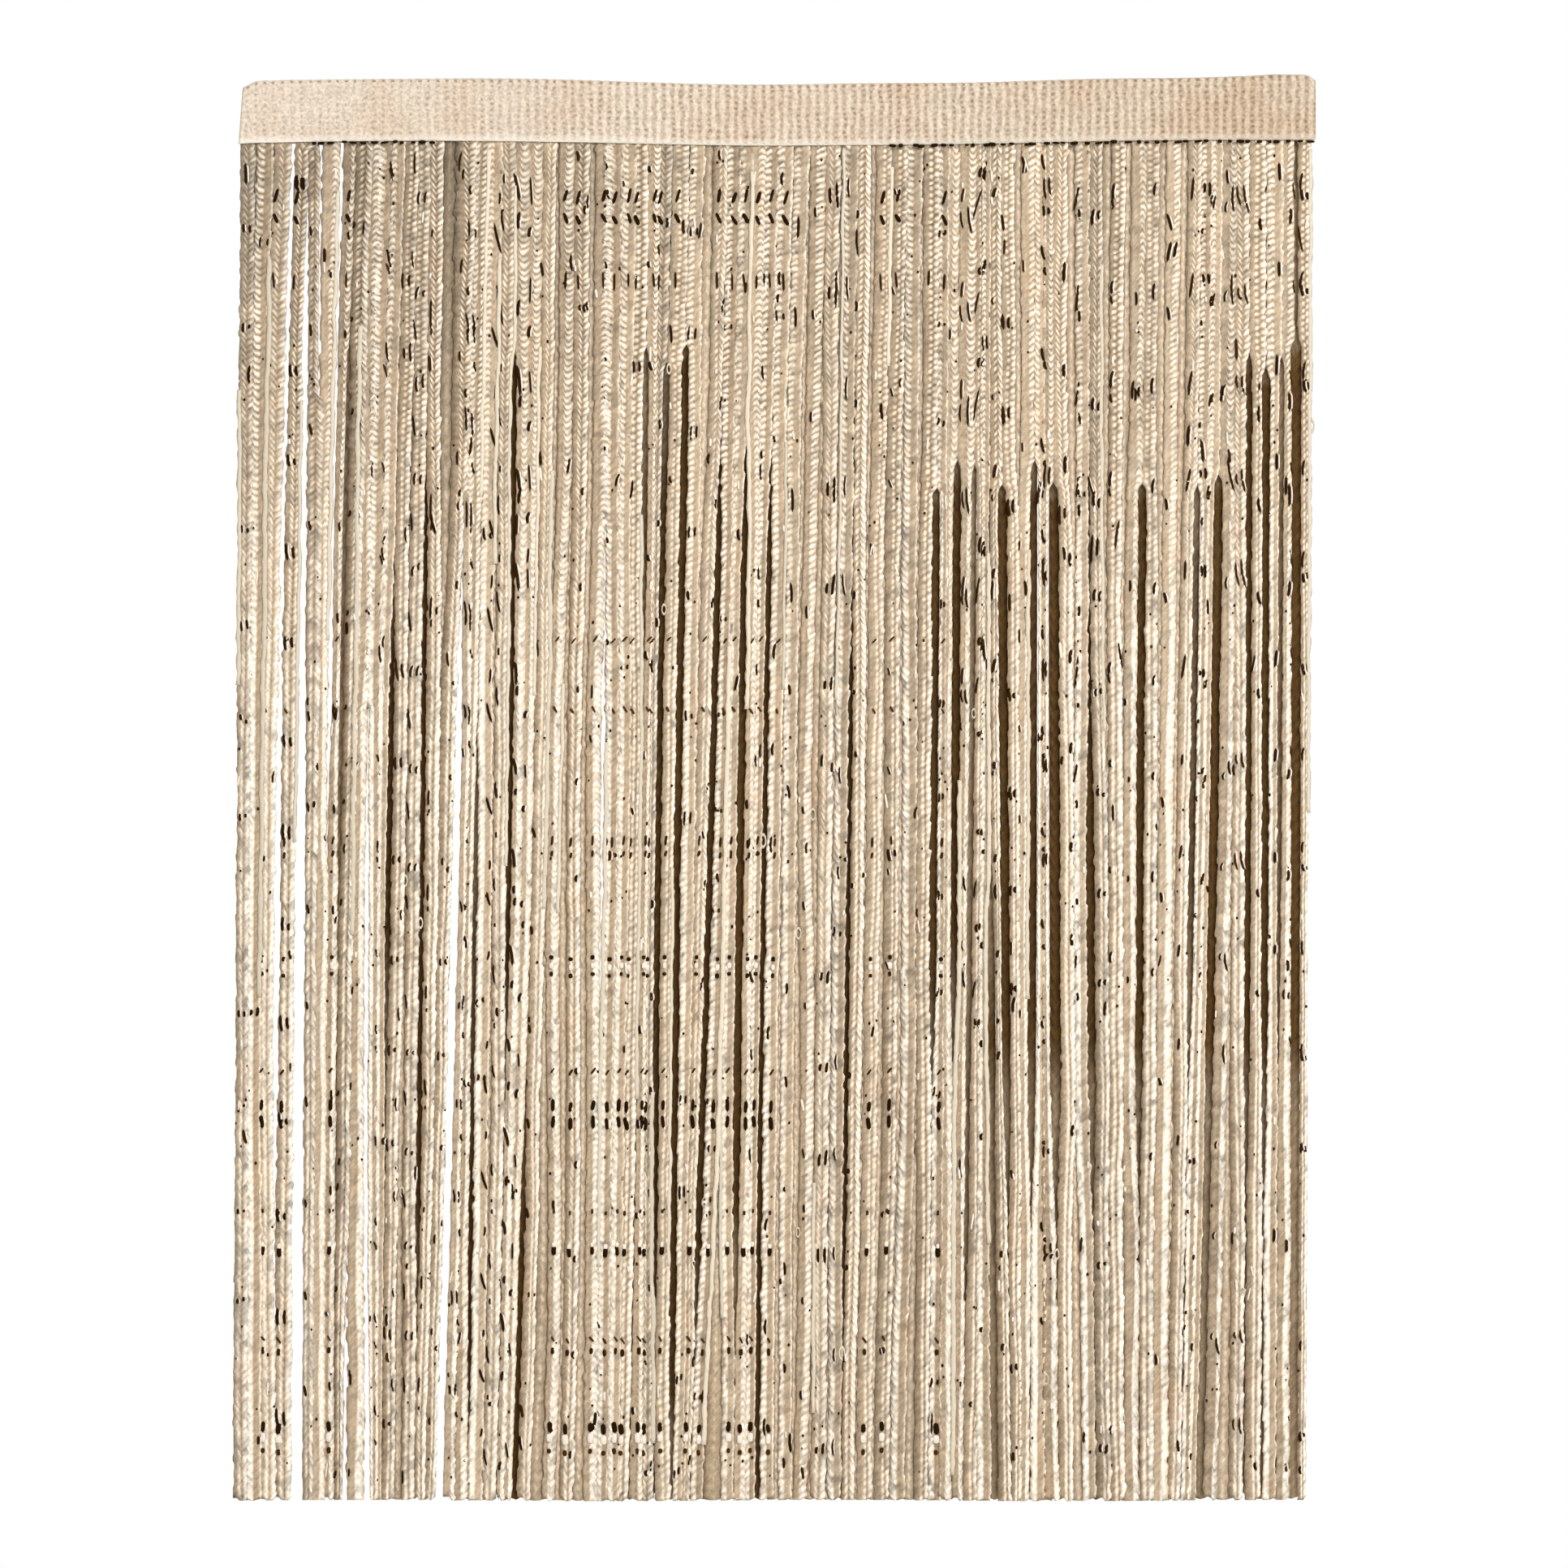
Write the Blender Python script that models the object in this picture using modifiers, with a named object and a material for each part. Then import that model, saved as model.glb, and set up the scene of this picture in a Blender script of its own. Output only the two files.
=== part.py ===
# A string curtain: a knitted heading folded into a rod sleeve, and three rows of knitted cords
# whose roots are caught between the sleeve's two walls.
# Metres, +Z up, the front faces -Y, and the origin is the middle of the fold at the top edge.
import math
import random
from collections import namedtuple

import bmesh
import bpy

MM = 0.001

# Heading: a band folded over, with a front wall, a round fold and a back wall.
SLEEVE_LEFT = -451.5 * MM
SLEEVE_RIGHT = 452.0 * MM
LEFT_END_LEAN = 3.0 * MM      # the left end leans in by this much at the fold
CLOTH_THICK = 1.5 * MM
SLEEVE_DEPTH = 10.6 * MM      # over both walls
SLEEVE_COLUMNS = 34
WALL_ROWS = 3
FOLD_ROWS = 6

# The heading's upper and lower edges, which rise and dip along the width (mm).
Edge = namedtuple("Edge", "along top bottom")
HEADING_EDGES = [
    Edge(-452, -7.5, -50.6),
    Edge(-444, -2.6, -50.4),
    Edge(-434, 0.7, -49.8),
    Edge(-380, 4.1, -48.6),
    Edge(-284, 4.8, -47.9),
    Edge(-175, 3.4, -49.1),
    Edge(-39, 0.2, -51.8),
    Edge(29, -0.2, -51.8),
    Edge(166, 2.0, -50.5),
    Edge(302, 4.8, -47.7),
    Edge(440, 8.1, -47.0),
    Edge(448, 7.0, -47.0),
    Edge(452, 3.5, -47.2),
]

# Cords: the field that they fill, and the cut that ends them all.
CUT_HEIGHT = -1189.0 * MM
FIELD_LEFT_TOP, FIELD_LEFT_FOOT = -450.0 * MM, -456.0 * MM
FIELD_RIGHT_TOP, FIELD_RIGHT_FOOT = 448.6 * MM, 443.9 * MM
CORD_WIDTH = 10.5 * MM
LONE_CORD_WIDTH = 12.5 * MM   # a cord with a parting on both sides spreads this far
CORD_PITCH = 15.5 * MM
PITCH_SLACK = 0.15            # share of a pitch that a section gives up before it takes one more cord
CLOSED = 0.8 * MM             # what is left between two cords that hang side by side
COVER_INSET = 0.6 * MM        # a cord behind stops this far from the middle of the cords before it
COVER_LAP = 4.5 * MM          # and reaches this far past the parting that it backs
SECTION_SAMPLES = 5
CORD_SEED = 11
CLEARANCE_SWAY = 0.6          # how unevenly a section shares out its clearances
CLEARANCE_TURNS = (0.4, 1.6)  # fewest and most times that a clearance widens again down the drop

# Partings between the front cords (mm): where each is at the sleeve, half way down and at the foot,
# the share of the drop where it opens and closes, and its clear width.
# Light partings are see-through; a dark brown cord hangs behind each of the others.
Parting = namedtuple("Parting", "top middle foot opens closes clear light")
PARTINGS = [
    Parting(-406, -419, -422, 0.00, 0.72, 7.5, True),
    Parting(-393, -400, -403, 0.08, 1.00, 10.5, True),
    Parting(-382, -387, -391, 0.00, 0.18, 4.0, True),
    Parting(-365, -377, -381, 0.00, 0.48, 7.5, True),
    Parting(-354, -367, -372, 0.15, 0.52, 4.0, False),
    Parting(-344, -355, -364, 0.86, 1.00, 4.0, True),
    Parting(-332, -344, -344, 0.48, 1.00, 5.5, True),
    Parting(-312, -325, -332, 0.36, 0.68, 4.5, False),
    Parting(-291, -297, -304, 0.26, 0.85, 4.0, False),
    Parting(-257, -269, -284, 0.33, 1.00, 8.0, True),
    Parting(-242, -252, -259, 0.45, 0.92, 4.0, False),
    Parting(-219, -224, -235, 0.14, 0.62, 4.5, False),
    Parting(-197, -205, -220, 0.72, 1.00, 5.0, False),
    Parting(-140, -146, -151, 0.33, 0.60, 6.0, True),
    Parting(-108, -114, -124, 0.17, 0.38, 4.5, False),
    Parting(-88, -99, -103, 0.16, 0.86, 5.0, False),
    Parting(-72, -83, -88, 0.16, 0.92, 6.0, False),
    Parting(-41, -55, -73, 0.25, 0.86, 5.0, False),
    Parting(-20, -30, -36, 0.24, 0.82, 6.5, False),
    Parting(2, -10, -16, 0.26, 1.00, 4.5, False),
    Parting(68, 61, 54, 0.38, 0.85, 3.5, False),
    Parting(136, 132, 127, 0.26, 0.66, 5.5, False),
    Parting(153, 150, 147, 0.26, 0.66, 6.0, False),
    Parting(168, 163, 156, 0.26, 0.85, 4.0, False),
    Parting(179, 179, 183, 0.56, 1.00, 6.5, False),
    Parting(188, 191, 197, 0.26, 0.74, 6.5, False),
    Parting(217, 215, 212, 0.26, 0.74, 6.5, False),
    Parting(232, 233, 237, 0.26, 0.78, 8.5, False),
    Parting(262, 263, 268, 0.42, 0.78, 6.0, False),
    Parting(310, 305, 304, 0.26, 0.74, 5.5, False),
    Parting(357, 349, 339, 0.26, 0.66, 4.0, False),
    Parting(374, 367, 355, 0.26, 1.00, 6.5, False),
    Parting(396, 396, 391, 0.16, 0.78, 4.5, False),
    Parting(411, 410, 408, 0.12, 0.72, 5.5, False),
    Parting(425, 422, 419, 0.16, 0.62, 3.5, False),
    Parting(436, 436, 434, 0.00, 1.00, 7.0, False),
]
PARTING_FADE = 0.05           # share of the drop over which a parting opens or closes

# Rows, front to back (mm): the tape that holds the roots, the cords' own depth, and their steps.
Row = namedtuple("Row", "name tape_front tape_back cord_front cord_back steps")
ROWS = {
    "front": Row("strings_front", -3.4, -1.4, -5.1, -1.6, 10),
    "middle": Row("strings_middle", -1.0, 1.0, -1.2, 1.2, 7),
    "back": Row("strings_back", 1.4, 3.4, 1.6, 4.0, 7),
}
TAPE_TALL = 10.0 * MM
ROOT_SHARE = 0.008            # share of the drop in which a root swells to a full cord

# The whole field swings a little to and fro as it hangs, more towards the foot.
SWING_DEPTH = 3.5 * MM
SWING_LENGTH = 390.0 * MM
SWING_START = 0.8

COLOURS = {
    "heading": (0.83, 0.69, 0.51),
    "strings_front": (0.87, 0.77, 0.59),
    "strings_middle": (0.52, 0.39, 0.26),
    "strings_back": (0.06, 0.035, 0.012),
}
KNIT_ROUGHNESS = 0.9


def clear_scene():
    for item in list(bpy.data.objects):
        bpy.data.objects.remove(item, do_unlink=True)


def make_collection(name):
    collection = bpy.data.collections.new(name)
    bpy.context.scene.collection.children.link(collection)
    return collection


def make_material(name):
    material = bpy.data.materials.new(name)
    material.use_nodes = True
    shader = material.node_tree.nodes["Principled BSDF"]
    shader.inputs["Base Color"].default_value = (*COLOURS[name], 1.0)
    shader.inputs["Roughness"].default_value = KNIT_ROUGHNESS
    shader.inputs["Metallic"].default_value = 0.0
    return material


def add_object(name, bm, collection):
    bmesh.ops.recalc_face_normals(bm, faces=bm.faces)
    mesh = bpy.data.meshes.new(name)
    bm.to_mesh(mesh)
    bm.free()
    mesh.materials.append(make_material(name))
    item = bpy.data.objects.new(name, mesh)
    collection.objects.link(item)
    return item


def smooth_step(start, end, value):
    share = min(1.0, max(0.0, (value - start) / (end - start)))
    return share * share * (3.0 - 2.0 * share)


def edge_height(along, column):
    """Height of the heading's upper or lower edge at a place along its width, as a smooth curve."""
    knots = [(row.along * MM, getattr(row, column) * MM) for row in HEADING_EDGES]
    along = min(max(along, knots[0][0]), knots[-1][0])
    last = len(knots) - 1
    left = max(i for i in range(last) if knots[i][0] <= along)
    (x0, z0), (x1, z1) = knots[left], knots[left + 1]
    before = knots[max(left - 1, 0)]
    after = knots[min(left + 2, last)]
    slope0 = (z1 - before[1]) / (x1 - before[0])
    slope1 = (after[1] - z0) / (after[0] - x0)
    span = x1 - x0
    t = (along - x0) / span
    return (z0 * (1 + 2 * t) * (1 - t) ** 2 + z1 * t * t * (3 - 2 * t)
            + span * (slope0 * t * (1 - t) ** 2 - slope1 * t * t * (1 - t)))


def swing(along, drop_share):
    """How far back the hanging field stands at a place along its width and down its drop."""
    turn = 2.0 * math.pi * along / SWING_LENGTH + SWING_START
    return SWING_DEPTH * drop_share * math.sin(turn)


# Heading

def sleeve_point(column_share, row):
    """A point of the folded band's middle surface, from the front hem over the fold to the back hem."""
    radius = (SLEEVE_DEPTH - CLOTH_THICK) / 2
    along = SLEEVE_LEFT + column_share * (SLEEVE_RIGHT - SLEEVE_LEFT)
    hem = edge_height(along, "bottom")
    fold_centre = edge_height(along, "top") - CLOTH_THICK / 2 - radius
    last_row = 2 * WALL_ROWS + FOLD_ROWS
    if row <= WALL_ROWS:
        y, z = -radius, hem + (fold_centre - hem) * row / WALL_ROWS
    elif row >= last_row - WALL_ROWS:
        y, z = radius, hem + (fold_centre - hem) * (last_row - row) / WALL_ROWS
    else:
        angle = math.pi * (row - WALL_ROWS) / FOLD_ROWS
        y, z = -radius * math.cos(angle), fold_centre + radius * math.sin(angle)
    lean = LEFT_END_LEAN * (1.0 - column_share) * (z - hem) / (fold_centre - hem)
    return along + lean, y, z


def make_heading(collection):
    rows = 2 * WALL_ROWS + FOLD_ROWS
    bm = bmesh.new()
    bmesh.ops.create_grid(bm, x_segments=SLEEVE_COLUMNS, y_segments=rows, size=0.5)
    for vert in bm.verts:
        vert.co = sleeve_point(vert.co.x + 0.5, round((vert.co.y + 0.5) * rows))
    heading = add_object("heading", bm, collection)
    shell = heading.modifiers.new("cloth", "SOLIDIFY")
    shell.thickness = CLOTH_THICK
    shell.offset = 0.0
    heading.data.shade_smooth()
    return heading


# Where the cords hang

def parting_centre(parting, share):
    top, middle, foot = parting.top * MM, parting.middle * MM, parting.foot * MM
    return (top * (1 - share) * (1 - 2 * share) + middle * 4 * share * (1 - share)
            + foot * share * (2 * share - 1))


def parting_clear(parting, share):
    """Clear width between the two cords beside a parting, at a share of the drop."""
    opening, closing = 1.0, 1.0
    if parting.opens > 0:
        opening = smooth_step(parting.opens - PARTING_FADE, parting.opens + PARTING_FADE, share)
    if parting.closes < 1:
        closing = 1 - smooth_step(parting.closes - PARTING_FADE, parting.closes + PARTING_FADE, share)
    return CLOSED + (parting.clear * MM - CLOSED) * opening * closing


def section_edges(index, share):
    """Left and right edge of the section of cords after parting number index, counted from 0."""
    left = FIELD_LEFT_TOP + (FIELD_LEFT_FOOT - FIELD_LEFT_TOP) * share
    right = FIELD_RIGHT_TOP + (FIELD_RIGHT_FOOT - FIELD_RIGHT_TOP) * share
    if index > 0:
        before = PARTINGS[index - 1]
        left = parting_centre(before, share) + parting_clear(before, share) / 2
    if index < len(PARTINGS):
        after = PARTINGS[index]
        right = parting_centre(after, share) - parting_clear(after, share) / 2
    return left, right


def section_count(index):
    """How many front cords fill a section, from its mean width."""
    total = 0.0
    for sample in range(SECTION_SAMPLES):
        left, right = section_edges(index, sample / (SECTION_SAMPLES - 1))
        total += right - left
    mean = total / SECTION_SAMPLES
    return max(1, math.ceil((mean + CORD_PITCH - CORD_WIDTH) / CORD_PITCH - PITCH_SLACK))


def plan_sections():
    """For each section: its index, and a phase and a number of turns for every clearance in it."""
    dice = random.Random(CORD_SEED)
    plans = []
    for index in range(len(PARTINGS) + 1):
        sways = [(dice.uniform(0, 2 * math.pi), dice.uniform(*CLEARANCE_TURNS))
                 for _ in range(section_count(index) - 1)]
        plans.append((index, sways))
    return plans


def front_spans(plans, share):
    """Left and right side of every front cord at a share of the drop, section by section."""
    spans = []
    for index, sways in plans:
        left, right = section_edges(index, share)
        count = len(sways) + 1
        most = LONE_CORD_WIDTH if count == 1 else CORD_WIDTH
        width = min(most, (right - left - CLOSED * len(sways)) / count)
        weights = [1 + CLEARANCE_SWAY * math.sin(phase + 2 * math.pi * turns * share)
                   for phase, turns in sways]
        spare = right - left - width * count - CLOSED * len(sways)
        place = left if sways else (left + right - width) / 2
        section = []
        for number in range(count):
            section.append((place, place + width))
            if number < len(sways):
                place += width + CLOSED + spare * weights[number] / sum(weights)
        spans.append(section)
    return spans


def cover_span(left_cord, right_cord):
    """Sides of a cord that hangs behind the clearance between two front cords."""
    middle = (left_cord[1] + right_cord[0]) / 2
    reach = (right_cord[0] - left_cord[1]) / 2 + COVER_LAP
    left = max(sum(left_cord) / 2 + COVER_INSET, middle - reach)
    right = min(sum(right_cord) / 2 - COVER_INSET, middle + reach)
    return left, right


def row_spans(row_key, plans, share):
    """Sides of every cord of one row at a share of the drop, from left to right."""
    sections = front_spans(plans, share)
    if row_key == "front":
        return [span for section in sections for span in section]
    if row_key == "middle":
        return [cover_span(section[i], section[i + 1])
                for section in sections for i in range(len(section) - 1)]
    return [cover_span(sections[i][-1], sections[i + 1][0])
            for i, parting in enumerate(PARTINGS) if not parting.light]


# Rows of cords

def set_corners(face, span, front, back, share):
    """Moves a four-cornered face to one level cross-section of a cord."""
    centre = face.calc_center_median()
    for vert in face.verts:
        x = span[0] if vert.co.x < centre.x else span[1]
        y = front if vert.co.y < centre.y else back
        root = edge_height(x, "bottom")
        vert.co = (x, y + swing(x, share), root + (CUT_HEIGHT - root) * share)


def make_row(row_key, plans, collection):
    """A narrow tape with one root for each cord, and the cords drawn down from the roots."""
    row = ROWS[row_key]
    roots = row_spans(row_key, plans, 0.0)
    ends = [SLEEVE_LEFT + CLOSED, SLEEVE_RIGHT - CLOSED]
    stops = sorted(ends + [side for span in roots for side in span])
    bm = bmesh.new()
    bmesh.ops.create_grid(bm, x_segments=len(stops) - 1, y_segments=1, size=0.5)
    for vert in bm.verts:
        x = stops[round((vert.co.x + 0.5) * (len(stops) - 1))]
        y = (row.tape_front if vert.co.y < 0 else row.tape_back) * MM
        vert.co = (x, y, edge_height(x, "bottom"))
    root_faces = sorted(bm.faces, key=lambda face: face.calc_center_median().x)[1::2]

    tape = bmesh.ops.extrude_face_region(bm, geom=list(bm.faces), use_keep_orig=True)
    raised = [item for item in tape["geom"] if isinstance(item, bmesh.types.BMVert)]
    bmesh.ops.translate(bm, verts=raised, vec=(0.0, 0.0, TAPE_TALL))

    shares = [ROOT_SHARE + (1 - ROOT_SHARE) * step / row.steps for step in range(row.steps + 1)]
    for share in shares:
        grown = bmesh.ops.extrude_discrete_faces(bm, faces=root_faces)
        root_faces = sorted(grown["faces"], key=lambda face: face.calc_center_median().x)
        for face, span in zip(root_faces, row_spans(row_key, plans, share)):
            set_corners(face, span, row.cord_front * MM, row.cord_back * MM, share)
    return add_object(row.name, bm, collection)


def build():
    clear_scene()
    curtain = make_collection("string_curtain")
    make_heading(curtain)
    plans = plan_sections()
    for row_key in ROWS:
        make_row(row_key, plans, curtain)


build()
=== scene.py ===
# A string curtain: chain-knitted cords in three rows, hanging from a knitted rod sleeve.
# Metres, +Z up, the front faces -Y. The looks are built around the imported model's nodes.
import math
import random

import bpy
import numpy as np
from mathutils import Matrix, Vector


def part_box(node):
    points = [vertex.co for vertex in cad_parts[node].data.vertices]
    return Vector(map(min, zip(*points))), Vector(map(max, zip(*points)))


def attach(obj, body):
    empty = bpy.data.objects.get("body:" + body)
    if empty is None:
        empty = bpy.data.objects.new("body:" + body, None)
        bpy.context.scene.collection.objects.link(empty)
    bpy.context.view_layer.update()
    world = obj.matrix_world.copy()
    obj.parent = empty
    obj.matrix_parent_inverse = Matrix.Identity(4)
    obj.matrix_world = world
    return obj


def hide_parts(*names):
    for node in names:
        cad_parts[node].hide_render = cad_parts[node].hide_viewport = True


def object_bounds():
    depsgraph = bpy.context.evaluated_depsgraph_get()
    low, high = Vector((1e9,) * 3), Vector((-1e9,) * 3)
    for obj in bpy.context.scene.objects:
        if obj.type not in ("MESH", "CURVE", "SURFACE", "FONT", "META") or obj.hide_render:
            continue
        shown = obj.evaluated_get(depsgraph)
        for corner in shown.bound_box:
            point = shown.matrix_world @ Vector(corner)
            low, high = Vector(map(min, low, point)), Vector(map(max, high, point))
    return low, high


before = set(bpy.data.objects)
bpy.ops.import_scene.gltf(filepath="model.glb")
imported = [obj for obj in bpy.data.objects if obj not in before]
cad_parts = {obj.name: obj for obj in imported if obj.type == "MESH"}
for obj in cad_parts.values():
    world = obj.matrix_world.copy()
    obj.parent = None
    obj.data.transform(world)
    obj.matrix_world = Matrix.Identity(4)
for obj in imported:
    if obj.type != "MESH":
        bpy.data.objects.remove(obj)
cadLow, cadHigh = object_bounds()
mm = 0.001


# Small helpers

def report(stage):
    print("string curtain:", stage)


def linearColour(hexCode):
    # sRGB hex to the linear values that shaders take
    channels = [int(hexCode[i:i + 2], 16) / 255 for i in (1, 3, 5)]
    return [c / 12.92 if c <= 0.04045 else ((c + 0.055) / 1.055) ** 2.4 for c in channels] + [1.0]


# settings of a Mix node that multiplies one colour by another
multiply = {"data_type": "RGBA", "blend_type": "MULTIPLY", 0: 1.0}


def addNode(tree, kind, settings=None, links=None, output=None):
    # settings named after sockets go to the inputs, the others are the node's own; gives the output in use
    node = tree.nodes.new("ShaderNode" + kind)
    for name, value in (settings or {}).items():
        if isinstance(name, int) or name in node.inputs:
            node.inputs[name].default_value = value
        else:
            setattr(node, name, value)
    for name, source in (links or {}).items():
        tree.links.new(source, node.inputs[name])
    return node.outputs[output] if output else next(socket for socket in node.outputs if socket.enabled)


def startMaterial(name, roughness, sheen=0.0, specular=0.5):
    material = bpy.data.materials.new(name)
    material.use_nodes = True
    tree = material.node_tree
    shader = tree.nodes["Principled BSDF"]
    shader.inputs["Roughness"].default_value = roughness
    shader.inputs["Sheen Weight"].default_value = sheen
    shader.inputs["Specular IOR Level"].default_value = specular
    return material, tree, shader


def selectOnly(*items):
    bpy.ops.object.select_all(action="DESELECT")
    for item in items:
        item.select_set(True)
    bpy.context.view_layer.objects.active = items[0]


def copyObject(item, name):
    twin = item.copy()
    twin.data = item.data.copy()
    twin.name = twin.data.name = name
    bpy.context.scene.collection.objects.link(twin)
    return twin


def joinAs(name, items):
    selectOnly(*items)
    if len(items) > 1:
        bpy.ops.object.join()
    joined = bpy.context.view_layer.objects.active
    joined.name = joined.data.name = name
    return joined


def settled():
    # the object just added, with its place and turn taken into its mesh
    bpy.ops.object.transform_apply(location=True, rotation=True, scale=True)
    return bpy.context.active_object


def addTube(sides):
    # an open tube of radius 1, from the origin down to -1
    bpy.ops.mesh.primitive_cylinder_add(vertices=sides, radius=1.0, depth=1.0, end_fill_type="NOTHING",
                                        location=(0, 0, -0.5))
    return settled()


def dress(item, material):
    item.data.materials.clear()
    item.data.materials.append(material)
    return item


def readPoints(mesh):
    points = np.empty(len(mesh.vertices) * 3, np.float32)
    mesh.vertices.foreach_get("co", points)
    return points.reshape(-1, 3).astype(float)


def writePoints(mesh, points):
    mesh.vertices.foreach_set("co", np.asarray(points, np.float32).ravel())
    mesh.update()


def writeValues(mesh, name, values):
    attribute = mesh.attributes.get(name) or mesh.attributes.new(name, "FLOAT", "POINT")
    attribute.data.foreach_set("value", np.asarray(values, np.float32))


def readValues(mesh, name):
    values = np.empty(len(mesh.vertices), np.float32)
    mesh.attributes[name].data.foreach_get("value", values)
    return values


def smoothBetween(rows, places):
    # a smooth curve through the rows, read at places counted in rows
    last = len(rows) - 1
    start = np.clip(np.floor(places).astype(int), 0, last - 1)
    t = (places - start)[:, None]
    before, after = rows[np.maximum(start - 1, 0)], rows[np.minimum(start + 2, last)]
    here, there = rows[start], rows[start + 1]
    return 0.5 * (2 * here + (there - before) * t
                  + (2 * before - 5 * here + 4 * there - after) * t ** 2
                  + (3 * here - before - 3 * there + after) * t ** 3)


def ownPiece(piece, slotName, *nodes):
    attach(piece, "root")
    if nodes:
        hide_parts(*nodes)
    piece.data.calc_loop_triangles()
    report(f"{piece.name}, {len(piece.data.loop_triangles)} triangles")


# Camera, light and floor

studio = {
    "frameMiddle": (6.1 * mm, -587.7 * mm),
    "frameWidth": 1317.2 * mm,
    "lens": 110.0,
    "sensor": 36.0,
    "backdrop": "#ffffff",
    "fillTint": "#fffaf3",
    "fill": 0.635,
    "keyPlace": (1.4, -3.1, 1.0),
    "keySize": 1.6,
    "keyPower": 96.0,
    "floorHeight": -2.05,
    "floorWidth": 5.0,
}


def makeCamera():
    distance = studio["frameWidth"] * studio["lens"] / studio["sensor"]
    x, z = studio["frameMiddle"]
    bpy.ops.object.camera_add(location=(x, -distance, z), rotation=(math.pi / 2, 0, 0))
    camera = bpy.context.active_object
    camera.data.lens = studio["lens"]
    camera.data.sensor_width = studio["sensor"]
    bpy.context.scene.camera = camera


def makeLights():
    bpy.ops.object.light_add(type="AREA", location=studio["keyPlace"])
    key = bpy.context.active_object
    key.data.size = studio["keySize"]
    key.data.energy = studio["keyPower"]
    middle = (cadLow + cadHigh) / 2
    key.rotation_euler = (middle - key.location).to_track_quat("-Z", "Y").to_euler()

    world = bpy.context.scene.world or bpy.data.worlds.new("studio")
    bpy.context.scene.world = world
    world.use_nodes = True
    tree = world.node_tree
    background = tree.nodes["Background"]
    # the camera sees a white backdrop, and the curtain is filled from it by a weaker and warmer light
    seen = addNode(tree, "LightPath", output="Is Camera Ray")
    tint = addNode(tree, "Mix", {"data_type": "RGBA", 6: linearColour(studio["fillTint"]),
                                 7: linearColour(studio["backdrop"])}, {0: seen})
    tree.links.new(tint, background.inputs["Color"])
    strength = addNode(tree, "Mix", {"data_type": "FLOAT", 2: studio["fill"], 3: 1.0}, {0: seen})
    tree.links.new(strength, background.inputs["Strength"])
    bpy.context.scene.view_settings.view_transform = "Standard"


def makeFloor():
    bpy.ops.mesh.primitive_plane_add(size=studio["floorWidth"], location=(0, 0, studio["floorHeight"]))
    floor = bpy.context.active_object
    floor.name = "studio_floor"
    material, tree, shader = startMaterial("painted plaster floor", 0.7)
    shader.inputs["Base Color"].default_value = linearColour("#e9e7e2")
    dress(floor, material)


# Heading

sleeve = {
    "stations": 34,               # the solid's own sections along the width
    "columns": 400,
    "wallRows": 14,
    "foldRows": 8,
    "depth": 10.6 * mm,
    "cloth": 1.3 * mm,
    "cutLength": 0.120,
    "wale": 7.6 * mm,
    "course": 4.9 * mm,
    "waleHeight": 0.35 * mm,
    "selvedge": 2.9 * mm,
    "hemRoll": 0.5 * mm,
    # the walls are this slack, in slanting waves
    "slack": 0.5 * mm, "slackLength": 38.0 * mm, "slackSlope": 9.0,
    "unevenness": 0.05 * mm,
    # at the left end the fold lies this far to the right of the hem, and its top this much further
    "lean": 3.0 * mm, "leanTop": 1.2,
    # the upper corners are rounded, and the top rises towards the left one
    "leftEase": 2.6, "rightEase": 5.0,
    "leftRise": 4.5 * mm, "leftRiseOver": 16.0 * mm,
    "foldStitches": 3.1 * mm,     # a row of openings this far over the fold's start
    "light": "#ece1d2",
    "ground": "#d1c1af",
    "opening": "#a4917c",
    "hem": "#fffbf2",
    "blush": "#f5e3d6",
    "shadedRight": "#e0dad1",
    "seed": 8,
}


def readSleeve():
    # the heading's solid at its stations: lower edge and upper edge
    points = readPoints(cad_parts["heading"].data)
    low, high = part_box("heading")
    spacing = (high.x - low.x) / sleeve["stations"]
    number = np.rint((points[:, 0] - low.x) / spacing).astype(int)
    return np.array([(points[number == i, 2].min(), points[number == i, 2].max())
                     for i in range(sleeve["stations"] + 1)])


def sleeveEdges(x):
    # heights of the hem and the top at places along the width, with the upper corners rounded
    low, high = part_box("heading")
    last = sleeve["stations"]
    places = np.clip((x - low.x) / (high.x - low.x), 0, 1) * last
    first = np.clip(places, 0, 1)
    final = np.clip(places - (last - 1), 0, 1)
    places = (places + (1 - (1 - first) ** sleeve["leftEase"] - first)
              + (final ** sleeve["rightEase"] - final))
    hem, top = smoothBetween(readSleeve(), places).T
    return hem, top + sleeve["leftRise"] * np.exp(-(x - low.x) / sleeve["leftRiseOver"])


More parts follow.
